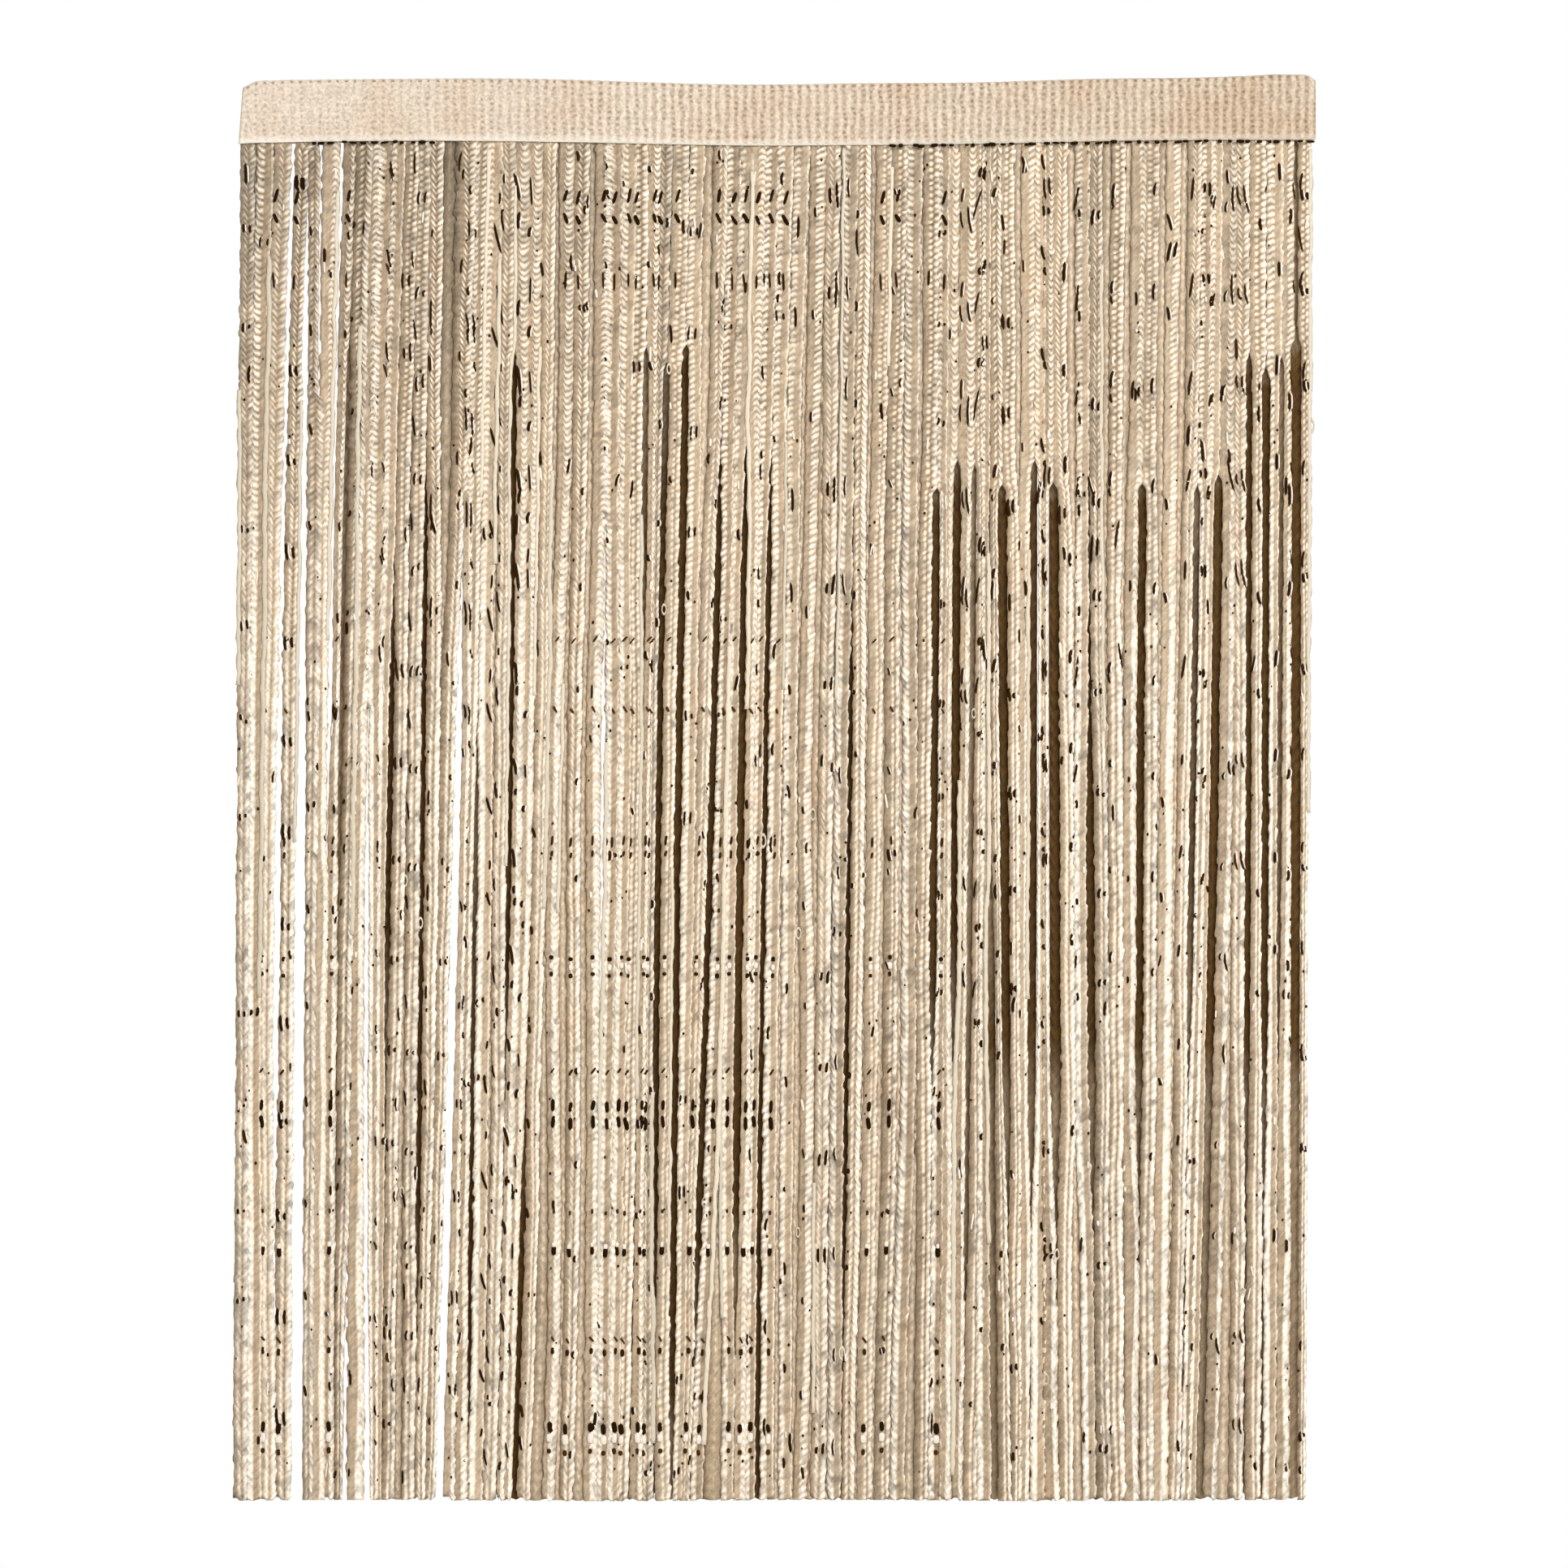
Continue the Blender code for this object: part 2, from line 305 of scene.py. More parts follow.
def makeHeading(material):
    low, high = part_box("heading")
    rows = 2 * sleeve["wallRows"] + sleeve["foldRows"]
    bpy.ops.mesh.primitive_grid_add(x_subdivisions=sleeve["columns"], y_subdivisions=rows, size=1.0)
    heading = bpy.context.active_object
    heading.name = heading.data.name = "knitted_heading"
    points = readPoints(heading.data)
    acrossShare = points[:, 0] + 0.5
    row = np.rint((points[:, 1] + 0.5) * rows)
    x = low.x + (high.x - low.x) * acrossShare
    hem, top = sleeveEdges(x)
    radius = sleeve["depth"] / 2
    wall, fold = sleeve["wallRows"], sleeve["foldRows"]
    foldCentre = top - radius
    climb = np.clip(np.minimum(row, rows - row) / wall, 0, 1)
    angle = math.pi * np.clip((row - wall) / fold, 0, 1)
    y = -radius * np.cos(angle)
    z = hem + (foldCentre - hem) * climb + radius * np.sin(angle)
    # wales stand proud as soft ribs, and the hem's edge is rolled
    rib = 0.5 + 0.5 * np.cos(2 * math.pi * x / sleeve["wale"])
    edge = np.exp(-((z - hem) / sleeve["selvedge"]) ** 2)
    chance = np.random.default_rng(sleeve["seed"])
    slackWave = np.sin(x / sleeve["slackLength"] + sleeve["slackSlope"] * z / sleeve["slackLength"])
    slack = sleeve["slack"] * slackWave * (1 - edge)
    outward = sleeve["waleHeight"] * rib * (1 - edge) + sleeve["hemRoll"] * edge + slack * climb
    outward += chance.normal(0, sleeve["unevenness"], len(points))
    y -= outward * np.cos(angle)
    z += outward * np.sin(angle)
    lean = sleeve["lean"] * (1 - acrossShare) * np.clip((z - hem) / (foldCentre - hem), 0, sleeve["leanTop"])
    writePoints(heading.data, np.column_stack([x + lean, y, z]))
    overFold = radius * np.minimum(angle, math.pi - angle)
    writeValues(heading.data, "edge", edge)
    writeValues(heading.data, "around", (foldCentre - hem) * climb + overFold)
    writeValues(heading.data, "overFold", overFold)
    selectOnly(heading)
    cloth = heading.modifiers.new("cloth", "SOLIDIFY")
    cloth.thickness = sleeve["cloth"]
    cloth.offset = -1.0
    bpy.ops.object.modifier_apply(modifier=cloth.name)
    dress(heading, material)
    heading.data.shade_smooth()
    ownPiece(heading, "heading_knit", "heading")


def headingMaterial():
    # Polyester warp-knit tape: light wales on a duller ground, with an opening beside them at each course
    material, tree, shader = startMaterial("warp-knitted polyester tape", 0.9, 0.1, 0.2)
    edge, around, overFold = (addNode(tree, "Attribute", {"attribute_name": name}, output="Fac")
                              for name in ("edge", "around", "overFold"))
    place = addNode(tree, "TexCoord", output="Object")
    side = addNode(tree, "SeparateXYZ", None, {0: place})
    # the wales and courses run a little crooked
    bend = addNode(tree, "TexNoise", {"Scale": 1 / (9 * mm), "Detail": 1.0}, {"Vector": place})
    aside = addNode(tree, "MapRange", {1: 0.3, 2: 0.7, 3: -1.1 * mm, 4: 1.1 * mm}, {0: bend})
    waves = []
    for along, pitch, shape in ((side, sleeve["wale"], "COSINE"), (around, sleeve["course"], "SINE")):
        crooked = addNode(tree, "Math", {"operation": "ADD"}, {0: along, 1: aside})
        turned = addNode(tree, "Math", {"operation": "MULTIPLY", 1: 2 * math.pi / pitch}, {0: crooked})
        waves.append(addNode(tree, "Math", {"operation": shape}, {0: turned}))
    rib, course = waves
    wale = addNode(tree, "MapRange", {1: -0.5, 2: 0.7}, {0: rib})
    valley = addNode(tree, "MapRange", {1: -0.2, 2: -0.9}, {0: rib})
    held = addNode(tree, "MapRange", {1: -0.4, 2: 0.7}, {0: course})
    # the left third is stretched, so its wales and openings show less
    fresh = addNode(tree, "MapRange", {1: -0.34, 2: -0.10, 3: 0.6, 4: 1.0}, {0: side})
    blotch = addNode(tree, "TexNoise", {"Scale": 1 / (16 * mm), "Detail": 2.0}, {"Vector": place})
    depth = addNode(tree, "MapRange", {1: 0.35, 2: 0.6, 3: 0.25, 4: 0.85}, {0: blotch})
    amount = held
    for factor in (valley, fresh, depth):
        amount = addNode(tree, "Math", {"operation": "MULTIPLY"}, {0: amount, 1: factor})
    # one row of openings runs along the fold
    nearFold = addNode(tree, "Math", {"operation": "SUBTRACT", 1: sleeve["foldStitches"]}, {0: overFold})
    farFold = addNode(tree, "Math", {"operation": "ABSOLUTE"}, {0: nearFold})
    foldRow = addNode(tree, "MapRange", {1: 1.9 * mm, 2: 0.5 * mm}, {0: farFold})
    foldDots = addNode(tree, "Math", {"operation": "MULTIPLY"}, {0: foldRow, 1: valley})
    pierced = addNode(tree, "Math", {"operation": "MAXIMUM"}, {0: amount, 1: foldDots})

    lit = addNode(tree, "Math", {"operation": "MULTIPLY"}, {0: wale, 1: fresh})
    plain = addNode(tree, "MapRange", {1: -0.34, 2: -0.10, 3: 0.50, 4: 0.12}, {0: side})
    lightness = addNode(tree, "Math", {"operation": "MAXIMUM"}, {0: lit, 1: plain})
    body = addNode(tree, "Mix", {"data_type": "RGBA", 6: linearColour(sleeve["ground"]),
                                 7: linearColour(sleeve["light"])}, {0: lightness})
    holed = addNode(tree, "Mix", {"data_type": "RGBA", 7: linearColour(sleeve["opening"])},
                    {0: pierced, 6: body})
    pink = addNode(tree, "TexNoise", {"Scale": 1 / (70 * mm), "Detail": 1.0}, {"Vector": place})
    warmth = addNode(tree, "MapRange", {1: 0.45, 2: 0.65, 3: 0.0, 4: 0.4}, {0: pink})
    warmed = addNode(tree, "Mix", {**multiply, 7: linearColour(sleeve["blush"])}, {0: warmth, 6: holed})
    # loops of the knit, drawn at 2.4 mm
    loops = addNode(tree, "TexNoise", {"Scale": 1 / (2.4 * mm), "Detail": 2.0}, {"Vector": place})
    speckle = addNode(tree, "MapRange", {1: 0.32, 2: 0.68, 3: 0.78, 4: 1.14}, {0: loops})
    speckled = addNode(tree, "Mix", multiply, {6: warmed, 7: speckle})
    hemmed = addNode(tree, "Mix", {"data_type": "RGBA", 7: linearColour(sleeve["hem"])},
                     {0: edge, 6: speckled})
    # painted shade: the tape is a little darker towards the right
    rightward = addNode(tree, "MapRange", {1: -0.45, 2: 0.40}, {0: side})
    shadedToRight = addNode(tree, "Mix", {**multiply, 7: linearColour(sleeve["shadedRight"])},
                   {0: rightward, 6: hemmed})
    tree.links.new(shadedToRight, shader.inputs["Base Color"])
    relief = addNode(tree, "Math", {"operation": "SUBTRACT"}, {0: loops, 1: pierced})
    bump = addNode(tree, "Bump", {"Strength": 0.6, "Distance": 0.5 * mm}, {"Height": relief})
    tree.links.new(bump, shader.inputs["Normal"])
    return material


# Cord, film and yarn materials

# Cord colours: the crest is a painted highlight, the groove is painted shade between stitches, and the middle
# lies between them
cordColours = {
    "cream": {"crest": "#fffaef", "middle": "#d3c1a9", "groove": "#806849"},
    "beige": {"crest": "#eadcc8", "middle": "#c2af96", "groove": "#978165"},
    "tan": {"crest": "#c8b79e", "middle": "#ad9a80", "groove": "#887357"},
    "brown": {"crest": "#816238", "middle": "#644924", "groove": "#3e2a12"},
}


def paintedLightRamp(tree, proud, key):
    # colour painted by how proud a point is: shade in the groove, then the middle, then a highlight on the
    # crest
    colours = cordColours[key]
    ramp = addNode(tree, "ValToRGB", None, {0: proud})
    stops = ramp.node.color_ramp.elements
    stops[0].color = linearColour(colours["groove"])
    stops[1].color = linearColour(colours["crest"])
    stops.new(0.5).color = linearColour(colours["middle"])
    return ramp


def cordMaterial(name, key, shadedKey, blush):
    # Polyester chain-knit cord, dyed in the yarn: matt, with a painted highlight on its crests, painted shade
    # in the gaps between stitches, and painted shade where a cord behind lies in the front cords' shade
    material, tree, shader = startMaterial(name, 0.85, 0.05, 0.15)
    proud, tone, shade = (addNode(tree, "Attribute", {"attribute_name": attribute}, output="Fac")
                          for attribute in ("proud", "tone", "shade"))
    place = addNode(tree, "TexCoord", output="Object")
    colour = addNode(tree, "Mix", {"data_type": "RGBA"}, {0: shade, 6: paintedLightRamp(tree, proud, key),
                                                          7: paintedLightRamp(tree, proud, shadedKey)})
    shaded = addNode(tree, "Mix", multiply, {6: colour, 7: tone})
    # in mm: yarns side by side show as upright streaks 1.9 wide, the loops' legs as ribs 2.2 wide that lean
    # over to the right, and the loops' heads as grain
    for width, height, lean, most in ((1.9, 33.0, 0.0, 0.08), (2.2, 9.0, 0.7, 0.16), (2.4, 2.1, 0.0, 0.07)):
        spread = addNode(tree, "Mapping", {"vector_type": "TEXTURE", "Rotation": (0.0, lean, 0.0),
                                           "Scale": (width * mm, width * mm, height * mm)},
                         {"Vector": place})
        grain = addNode(tree, "TexNoise", {"Scale": 1.0, "Detail": 1.0}, {"Vector": spread})
        grainTone = addNode(tree, "MapRange", {1: 0.33, 2: 0.67, 3: 1 - most, 4: 1 + most}, {0: grain})
        shaded = addNode(tree, "Mix", multiply, {6: shaded, 7: grainTone})
    # dye that took unevenly, in patches about 60 mm tall
    patch = addNode(tree, "Mapping", {"Scale": (40, 40, 16)}, {"Vector": place})
    uneven = addNode(tree, "TexNoise", {"Scale": 1.0, "Detail": 2.0}, {"Vector": patch})
    amount = addNode(tree, "MapRange", {1: 0.5, 2: 0.72, 3: 0.0, 4: 0.25}, {0: uneven})
    tinted = addNode(tree, "Mix", {**multiply, 7: linearColour(blush)}, {0: amount, 6: shaded})
    tree.links.new(tinted, shader.inputs["Base Color"])
    bump = addNode(tree, "Bump", {"Strength": 0.4, "Distance": 0.8 * mm}, {"Height": grain})
    tree.links.new(bump, shader.inputs["Normal"])
    return material


def smoothMaterial(name, hexCode, roughness, gloss):
    # Polyester drawn smooth, as slit film or as filament yarn: it catches the light in spots and streaks,
    # through its bump and through a painted sheen, its colour lighter and darker by the same crinkles
    material, tree, shader = startMaterial(name, roughness, 0.0, gloss)
    place = addNode(tree, "TexCoord", output="Object")
    crinkle = addNode(tree, "TexNoise", {"Scale": 1 / (2.5 * mm), "Detail": 2.0}, {"Vector": place})
    light = linearColour(hexCode)
    # painted sheen: the crinkles darken the colour down to this share
    dimShare = 0.72
    dim = [dimShare * channel for channel in light[:3]] + [1.0]
    colour = addNode(tree, "Mix", {"data_type": "RGBA", 6: dim, 7: light}, {0: crinkle})
    tone = addNode(tree, "Attribute", {"attribute_name": "tone"}, output="Fac")
    toned = addNode(tree, "Mix", multiply, {6: colour, 7: tone})
    tree.links.new(toned, shader.inputs["Base Color"])
    bump = addNode(tree, "Bump", {"Strength": 0.5, "Distance": 0.3 * mm}, {"Height": crinkle})
    tree.links.new(bump, shader.inputs["Normal"])
    return material


# Cords

# Each row: its solid, where its root tape lies, how deep and how full its cords are, how they are knitted,
# how straight they hang, and how their tones vary. A cord behind is painted in shade where it is wide, from
# the first width on and fully from the second. Its outlines are the kinds of stitch and how often each comes.
# The points of one go round it from the back by the left: across, deep (both against half the cord's size),
# how much it swells, and how light it is painted on and between ridges: a painted highlight on the ridges and
# on the lit right edges, painted shade between the ridges and on the flat strips. Left of its foot a stitch
# is a flat strip, whose share of the width is drawn for each cord. All front stitches have the same two
# points at the back.
frontBack = [(0.88, 0.55, 0.0, 0.30, 0.28), (-0.90, 0.55, 0.0, 0.30, 0.28)]
cordRows = {
    "front": {
        "node": "strings_front", "slot": "cream_cord", "pieces": 4, "seed": 4,
        "tape": (-3.4 * mm, -1.4 * mm), "against": "back",
        "depth": 4.0 * mm, "full": (0.98, 1.06),
        "outlines": [
            # a flat strip, then the two legs of the chain, the right one with a bright edge, a painted
            # highlight on the side the light comes from
            {"often": 0.45, "seam": 0.20, "foot": -0.50, "strip": (0.12, 0.44),
             "points": frontBack + [(-1.0, -0.30, 0.0, 0.32, 0.29), (-0.50, -0.40, 0.1, 0.30, 0.22),
                                    (-0.16, -0.95, 1.0, 0.98, 0.10), (0.20, -0.46, 0.1, 0.24, 0.06),
                                    (0.60, -1.0, 1.0, 1.0, 0.16), (0.98, -0.62, 0.5, 0.95, 0.50)]},
            # a wide strip with one rope on its right
            {"often": 0.25, "seam": 0.31, "foot": -0.20, "strip": (0.28, 0.52),
             "points": frontBack + [(-1.0, -0.30, 0.0, 0.36, 0.32), (-0.62, -0.40, 0.1, 0.29, 0.26),
                                    (-0.20, -0.46, 0.1, 0.28, 0.20), (0.12, -0.90, 1.0, 0.96, 0.10),
                                    (0.50, -1.0, 1.0, 1.0, 0.14), (0.96, -0.50, 0.3, 0.60, 0.30)]},
            # a rope on the left, then a strip with a bright edge, a painted highlight on the side the light
            # comes from
            {"often": 0.30, "seam": -0.43, "foot": -1.0, "strip": None,
             "points": frontBack + [(-1.0, -0.50, 0.3, 0.60, 0.30), (-0.62, -1.0, 1.0, 1.0, 0.14),
                                    (-0.24, -0.90, 1.0, 0.96, 0.10), (0.06, -0.44, 0.1, 0.26, 0.18),
                                    (0.62, -0.40, 0.1, 0.32, 0.28), (0.98, -0.62, 0.5, 1.0, 0.60)]},
        ],
        "stitch": 5.9 * mm, "stretch": 0.085, "valley": 0.62, "slant": 0.45, "twisted": 0.40,
        "wobble": 0.2 * mm, "turn": 0.16, "uneven": 0.20, "relief": (0.75, 1.15),
        "shift": 0.09, "ragged": 0.09,
        "tone": 1.05, "cordTones": 0.11, "stitchTones": 0.17, "grain": 0.10, "dusk": 0.12,
        "glow": 0.44, "dull": 0.05,
        "shadedOver": None,
    },
    "middle": {
        "node": "strings_middle", "slot": "tan_cord", "pieces": 1, "seed": 5,
        "tape": (-1.0 * mm, 1.0 * mm), "against": "middle",
        "depth": 2.6 * mm, "full": (1.02, 1.08),
        "outlines": [
            # a band with one raised rib
            {"often": 1.0, "seam": 0.0, "foot": -1.0, "strip": None,
             "points": [(0.45, 1.0, 0.8, 0.5, 0.3), (-0.45, 1.0, 0.8, 0.5, 0.3),
                        (-1.0, -1.4, 0.1, 0.42, 0.38), (-0.24, -1.6, 0.1, 0.42, 0.36),
                        (0.0, -2.6, 1.0, 0.95, 0.56), (0.24, -1.6, 0.1, 0.42, 0.36),
                        (1.0, -1.4, 0.1, 0.42, 0.38)]},
        ],
        "stitch": 8.5 * mm, "stretch": 0.0, "valley": 0.74, "slant": 0.20, "twisted": 0.0,
        "wobble": 0.2 * mm, "turn": 0.05, "uneven": 0.10, "relief": (0.6, 1.0),
        "shift": 0.05, "ragged": 0.02,
        "tone": 1.0, "cordTones": 0.06, "stitchTones": 0.05, "grain": 0.08, "dusk": 0.20,
        "glow": 0.0, "dull": 0.0,
        "shadedOver": (17.0 * mm, 23.0 * mm),
    },
    "back": {
        "node": "strings_back", "slot": "brown_cord", "pieces": 1, "seed": 6,
        "tape": (1.4 * mm, 3.4 * mm), "against": "front",
        "depth": 3.0 * mm, "full": (1.10, 1.16),
        "outlines": [
            # a thick chain
            {"often": 1.0, "seam": 0.0, "foot": -1.0, "strip": None,
             "points": [(0.0, 0.80, 0.1, 0.2, 0.1), (-0.66, 0.85, 1.0, 0.9, 0.2),
                        (-0.66, -0.85, 1.0, 0.9, 0.2), (0.0, -0.80, 0.1, 0.2, 0.1),
                        (0.66, -0.85, 1.0, 0.9, 0.2), (0.66, 0.85, 1.0, 0.9, 0.2)]},
        ],
        "stitch": 12.0 * mm, "stretch": 0.0, "valley": 0.84, "slant": 0.50, "twisted": 0.0,
        "wobble": 0.1 * mm, "turn": 0.05, "uneven": 0.06, "relief": (0.5, 0.9),
        "shift": 0.03, "ragged": 0.01,
        "tone": 0.95, "cordTones": 0.05, "stitchTones": 0.05, "grain": 0.05, "dusk": 0.10,
        "glow": 0.0, "dull": 0.0,
        "shadedOver": (9.8 * mm, 11.4 * mm),
    },
}
hang = {
    "tapeFoot": -54.0 * mm,       # the tapes end above this height, the cords' first rings lie below it
    "ringGap": 20.0 * mm,         # least height between two rings of a cord
    "sideGap": 0.1 * mm,          # least distance between two sides of cords
    "rootLift": 13.0 * mm,        # how far above its first ring a cord's root is held
    "tapeTall": 10.0 * mm, "tapeColumns": 68, "tapeInset": 3.0 * mm,
    "tapeValues": (("proud", 0.6), ("tone", 0.9), ("shade", 0.0)),
    "stitchVaries": (0.94, 1.06), # how tall a cord's stitches are, against its row's
    "sideShare": 0.25,            # a valley draws in the sides by this share of what it takes off the front
    "legLimits": (0.70, 1.25),    # least and most fullness of a stitch's legs
    "raggedMost": 2.2,            # limit of a ragged edge, in times its usual size
    "pointUp": 0.3,               # share of the chains whose stitches point up instead of down
    "rolled": 0.5,                # how far a turning cord's edges swing, against a rigid one's
    "swelling": 0.03, "streakTones": 0.06,
    # waves down a cord, least and most of them: it turns, sways, swells, and has long streaks
    "waves": {"turning": (1, 8), "wobble": (4, 26), "swell": (6, 40), "streaks": (2, 20)},
    # a cord's flat strip widens and narrows down the drop, within limits, and is wider low on the right
    "stripSway": 0.09, "stripLow": 0.06, "stripLimits": (0.05, 0.74),
    "edge": 0.99,                 # where a section's sides are taken to be, in half widths
    "flatVaries": 0.35,           # share by which flat parts vary in tone, against ropes
    "toneLimits": (0.35, 1.12),
    # the sleeve shades the cords under it, most on the left, and the shade fades over this drop
    "duskOver": 330.0 * mm, "duskLeft": 2.6, "duskRight": -0.2,
    # from this share of the drop on, a chain's ropes are drawn lighter, its strip duller and its stitches
    # less even in tone; low on the right it is lighter and duller by this much more
    "glowFrom": 0.18, "glowOver": 0.22, "variedLow": 0.35, "glowLow": 0.08, "dullLow": 0.05,
    # it looks lighter still towards the sides, from this far out, and once more on the right
    "sidesFrom": 100 * mm, "sidesOver": 150 * mm, "glowSides": 0.6, "lighterRight": 0.04,
    # how far a front cord spreads past its solid where another lies close beside it, by what is behind the
    # gap, and where none does: gaps under the first width are close, gaps over the second are free
    "spreadClose": {"covered": 1.2 * mm, "dark": 0.5 * mm, "light": 0.5 * mm},
    "spreadFree": 0.2 * mm,
    "closeUnder": {"covered": (3.0 * mm, 7.0 * mm), "dark": (1.5 * mm, 3.5 * mm),
                   "light": (1.5 * mm, 3.5 * mm)},
    # under the sleeve the cords are squeezed flat and wide, down to this share of the drop
    "topSpread": 0.8 * mm, "topSpreadTo": 0.25,
    # above a dark part they close up and lap over each other, and go back to their width over this share
    "lap": 0.3 * mm, "closeMost": 2.2 * mm, "thinnerOver": 0.006,
    # where a dark part starts they are this much thinner still, and less so down to this share further on
    "squarer": 1.3 * mm, "squarerOver": 0.07,
    # how far the cords beside a slit that light comes through lean over it, from the left and from the right
    "slitLean": (1.4 * mm, 0.4 * mm),
    # at the top such a slit is this much narrower still on both sides, down to this share of the drop, but
    # neither cord takes more of it than the last share
    "slitSpread": 4.2 * mm, "slitSpreadTo": 0.55, "slitKept": 0.30,
    "closerLow": 0.5 * mm,        # how much wider a cord is on each side low on the right
}
# The back cords are tan under the sleeve, where all lie close together, with a little of the brown, and fully
# brown from these drops on, where the front cords beside a gap grow thinner. The brown is painted shade: it
# stands in for the deep shade between the front cords.
# Columns: right of this place, from this drop, thinner by this much.
brownZones = [(-1000 * mm, 220 * mm, 0.1 * mm), (-50 * mm, 272 * mm, 0.15 * mm),
              (105 * mm, 326 * mm, 0.6 * mm), (385 * mm, 226 * mm, 0.4 * mm)]
brownSway = (13 * mm, 9 * mm)     # from gap to gap this much lower or higher, in a wave of about this length
brownOver = 14 * mm
brownAbove = 0.15                 # share of the painted brown shade that shows above its start
# low on the right the cords hang closer and catch more light, by this share
backLight = {"from": 805.0 * mm, "over": 60.0 * mm, "rightOf": 100.0 * mm, "share": 0.9}


def readCords(nodeName):
    # a cord in the node is a stack of four-cornered rings: gives left, right, front, back and height
    corners = np.unique(readPoints(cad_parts[nodeName].data).round(5), axis=0)
    corners = corners[corners[:, 2] < hang["tapeFoot"]]
    corners = corners[np.argsort(-corners[:, 2])]
    rings = []
    for ring in np.split(corners, np.where(-np.diff(corners[:, 2]) > hang["ringGap"])[0] + 1):
        ring = ring[np.argsort(ring[:, 0])]
        sides = np.split(ring, np.where(np.diff(ring[:, 0]) > hang["sideGap"])[0] + 1)
        pairs = [np.vstack(pair) for pair in zip(sides[::2], sides[1::2])]
        rings.append([(p[:, 0].min(), p[:, 0].max(), p[:, 1].min(), p[:, 1].max(), p[:, 2].mean())
                      for p in pairs])
    return np.array(rings).transpose(1, 0, 2)


def makeStitch(look, kind, slant, twisted):
    # a ridge between two valleys: its legs meet in a seam in front or, where twisted, run on across it
    outline = np.array(kind["points"])
    stitch = addTube(len(outline))
    bpy.ops.object.mode_set(mode="EDIT")
    bpy.ops.mesh.select_all(action="SELECT")
    bpy.ops.mesh.bisect(plane_co=(0, 0, -0.5), plane_no=(0, 0, 1))
    bpy.ops.object.mode_set(mode="OBJECT")
    points = readPoints(stitch.data)
    around = np.arctan2(points[:, 0], -points[:, 1]) / (2 * math.pi) + 0.5
    across, deep, swell, light, dim = outline[np.rint(around * len(outline)).astype(int) % len(outline)].T
    ridge = np.abs(points[:, 2] + 0.5) < 0.1
    shrink = np.where(ridge, 1.0, 1 - (1 - look["valley"]) * swell)
    sideShrink = np.where(ridge, 1.0, 1 - (1 - look["valley"]) * swell * hang["sideShare"])
    seam = kind["seam"]
    aside = np.clip((across - seam) / np.where(across > seam, 1 - seam, seam - kind["foot"]), -1, 1)
    z = points[:, 2] + (aside if twisted else 2 * np.abs(aside) - 1) * slant
    writePoints(stitch.data, np.column_stack([across * sideShrink, deep * shrink, z]))
    writeValues(stitch.data, "proud", np.where(ridge, light, dim))
    writeValues(stitch.data, "rope", swell)
    return stitch


def knitCord(stitch, name, stitches):
    # the stitch repeated down a cord, closed at both ends
    cord = copyObject(stitch, name)
    selectOnly(cord)
    chain = cord.modifiers.new("chain", "ARRAY")
    chain.use_relative_offset = False
    chain.use_constant_offset = True
    chain.constant_offset_displace = (0, 0, -1)
    chain.count = stitches
    chain.use_merge_vertices = True
    chain.merge_threshold = 0.0001
    bpy.ops.object.modifier_apply(modifier=chain.name)
    bpy.ops.object.mode_set(mode="EDIT")
    bpy.ops.mesh.select_all(action="DESELECT")
    bpy.ops.mesh.select_mode(type="EDGE")
    bpy.ops.mesh.select_non_manifold()
    bpy.ops.mesh.fill_holes(sides=16)
    bpy.ops.object.mode_set(mode="OBJECT")
    return cord


def sideOf(middle, coverRows):
    # what lies behind a gap between two front cords, at half its drop
    for kind, rows in coverRows:
        if any(rings[len(rings) // 2, 0] < middle < rings[len(rings) // 2, 1] for rings in rows):
            return kind
    return "light"


def brownStart(x):
    # from which drop on a gap at x is painted brown behind, as shade, and how much thinner the cords beside
    # it grow there
    drop, thinner = [(drop, thinner) for rightOf, drop, thinner in brownZones if x > rightOf][-1]
    most, length = brownSway
    return drop + most * math.sin(x / length), thinner


def findSides(cords):
    # for each front cord, what lies beside it to the left and to the right: the kind, how far off the next
    # cord is, and how much thinner it gets towards a gap that is dark behind, from which share of the drop on
    coverRows = (("covered", readCords("strings_middle")), ("dark", readCords("strings_back")))
    half = cords[:, len(cords[0]) // 2]
    sides = []
    for number, (before, after) in enumerate(zip(half, half[1:])):
        middle = (before[1] + after[0]) / 2
        brownFrom, thinner = brownStart(middle)
        gaps = cords[number + 1][:, 0] - cords[number][:, 1]
        top, foot = cords[number][0, 4] + hang["rootLift"], cords[number][-1, 4]
        sides.append((sideOf(middle, coverRows), gaps, thinner, (top + brownFrom) / (top - foot)))
    end = ("end", None, 0.0, 0.0)
    return list(zip([end] + sides, sides + [end]))


def spreadOf(side, share, slitLean):
    # how far a front cord spreads past its solid towards one side
    kind, gaps, thinner, thinnerFrom = side
    if kind == "end":
        return hang["spreadFree"]
    gap = np.interp(share, np.linspace(0, 1, len(gaps)), gaps)
    close, free = hang["closeUnder"][kind]
    closeness = np.clip((free - gap) / (free - close), 0, 1)
    spread = hang["spreadFree"] + (hang["spreadClose"][kind] - hang["spreadFree"]) * closeness
    if kind == "light":
        spread = spread + slitLean + hang["slitSpread"] * np.clip(1 - share / hang["slitSpreadTo"], 0, 1)
        return np.where(gap > close, np.minimum(spread, hang["slitKept"] * gap), spread)
    spread = spread + hang["topSpread"] * np.clip(1 - share / hang["topSpreadTo"], 0, 1)
    if kind == "dark":
        # above the dark part the cords close up, below it they are thinner, so that it starts squarely
        below = share - thinnerFrom
        above = 1 - np.clip(below / hang["thinnerOver"], 0, 1)
        closed = np.maximum(spread, np.minimum(gap / 2 + hang["lap"], hang["closeMost"]))
        squarer = hang["squarer"] * np.clip(1 - below / hang["squarerOver"], 0, 1) * (1 - closeness)
        spread = above * closed + (1 - above) * (spread - thinner - squarer)
    return spread


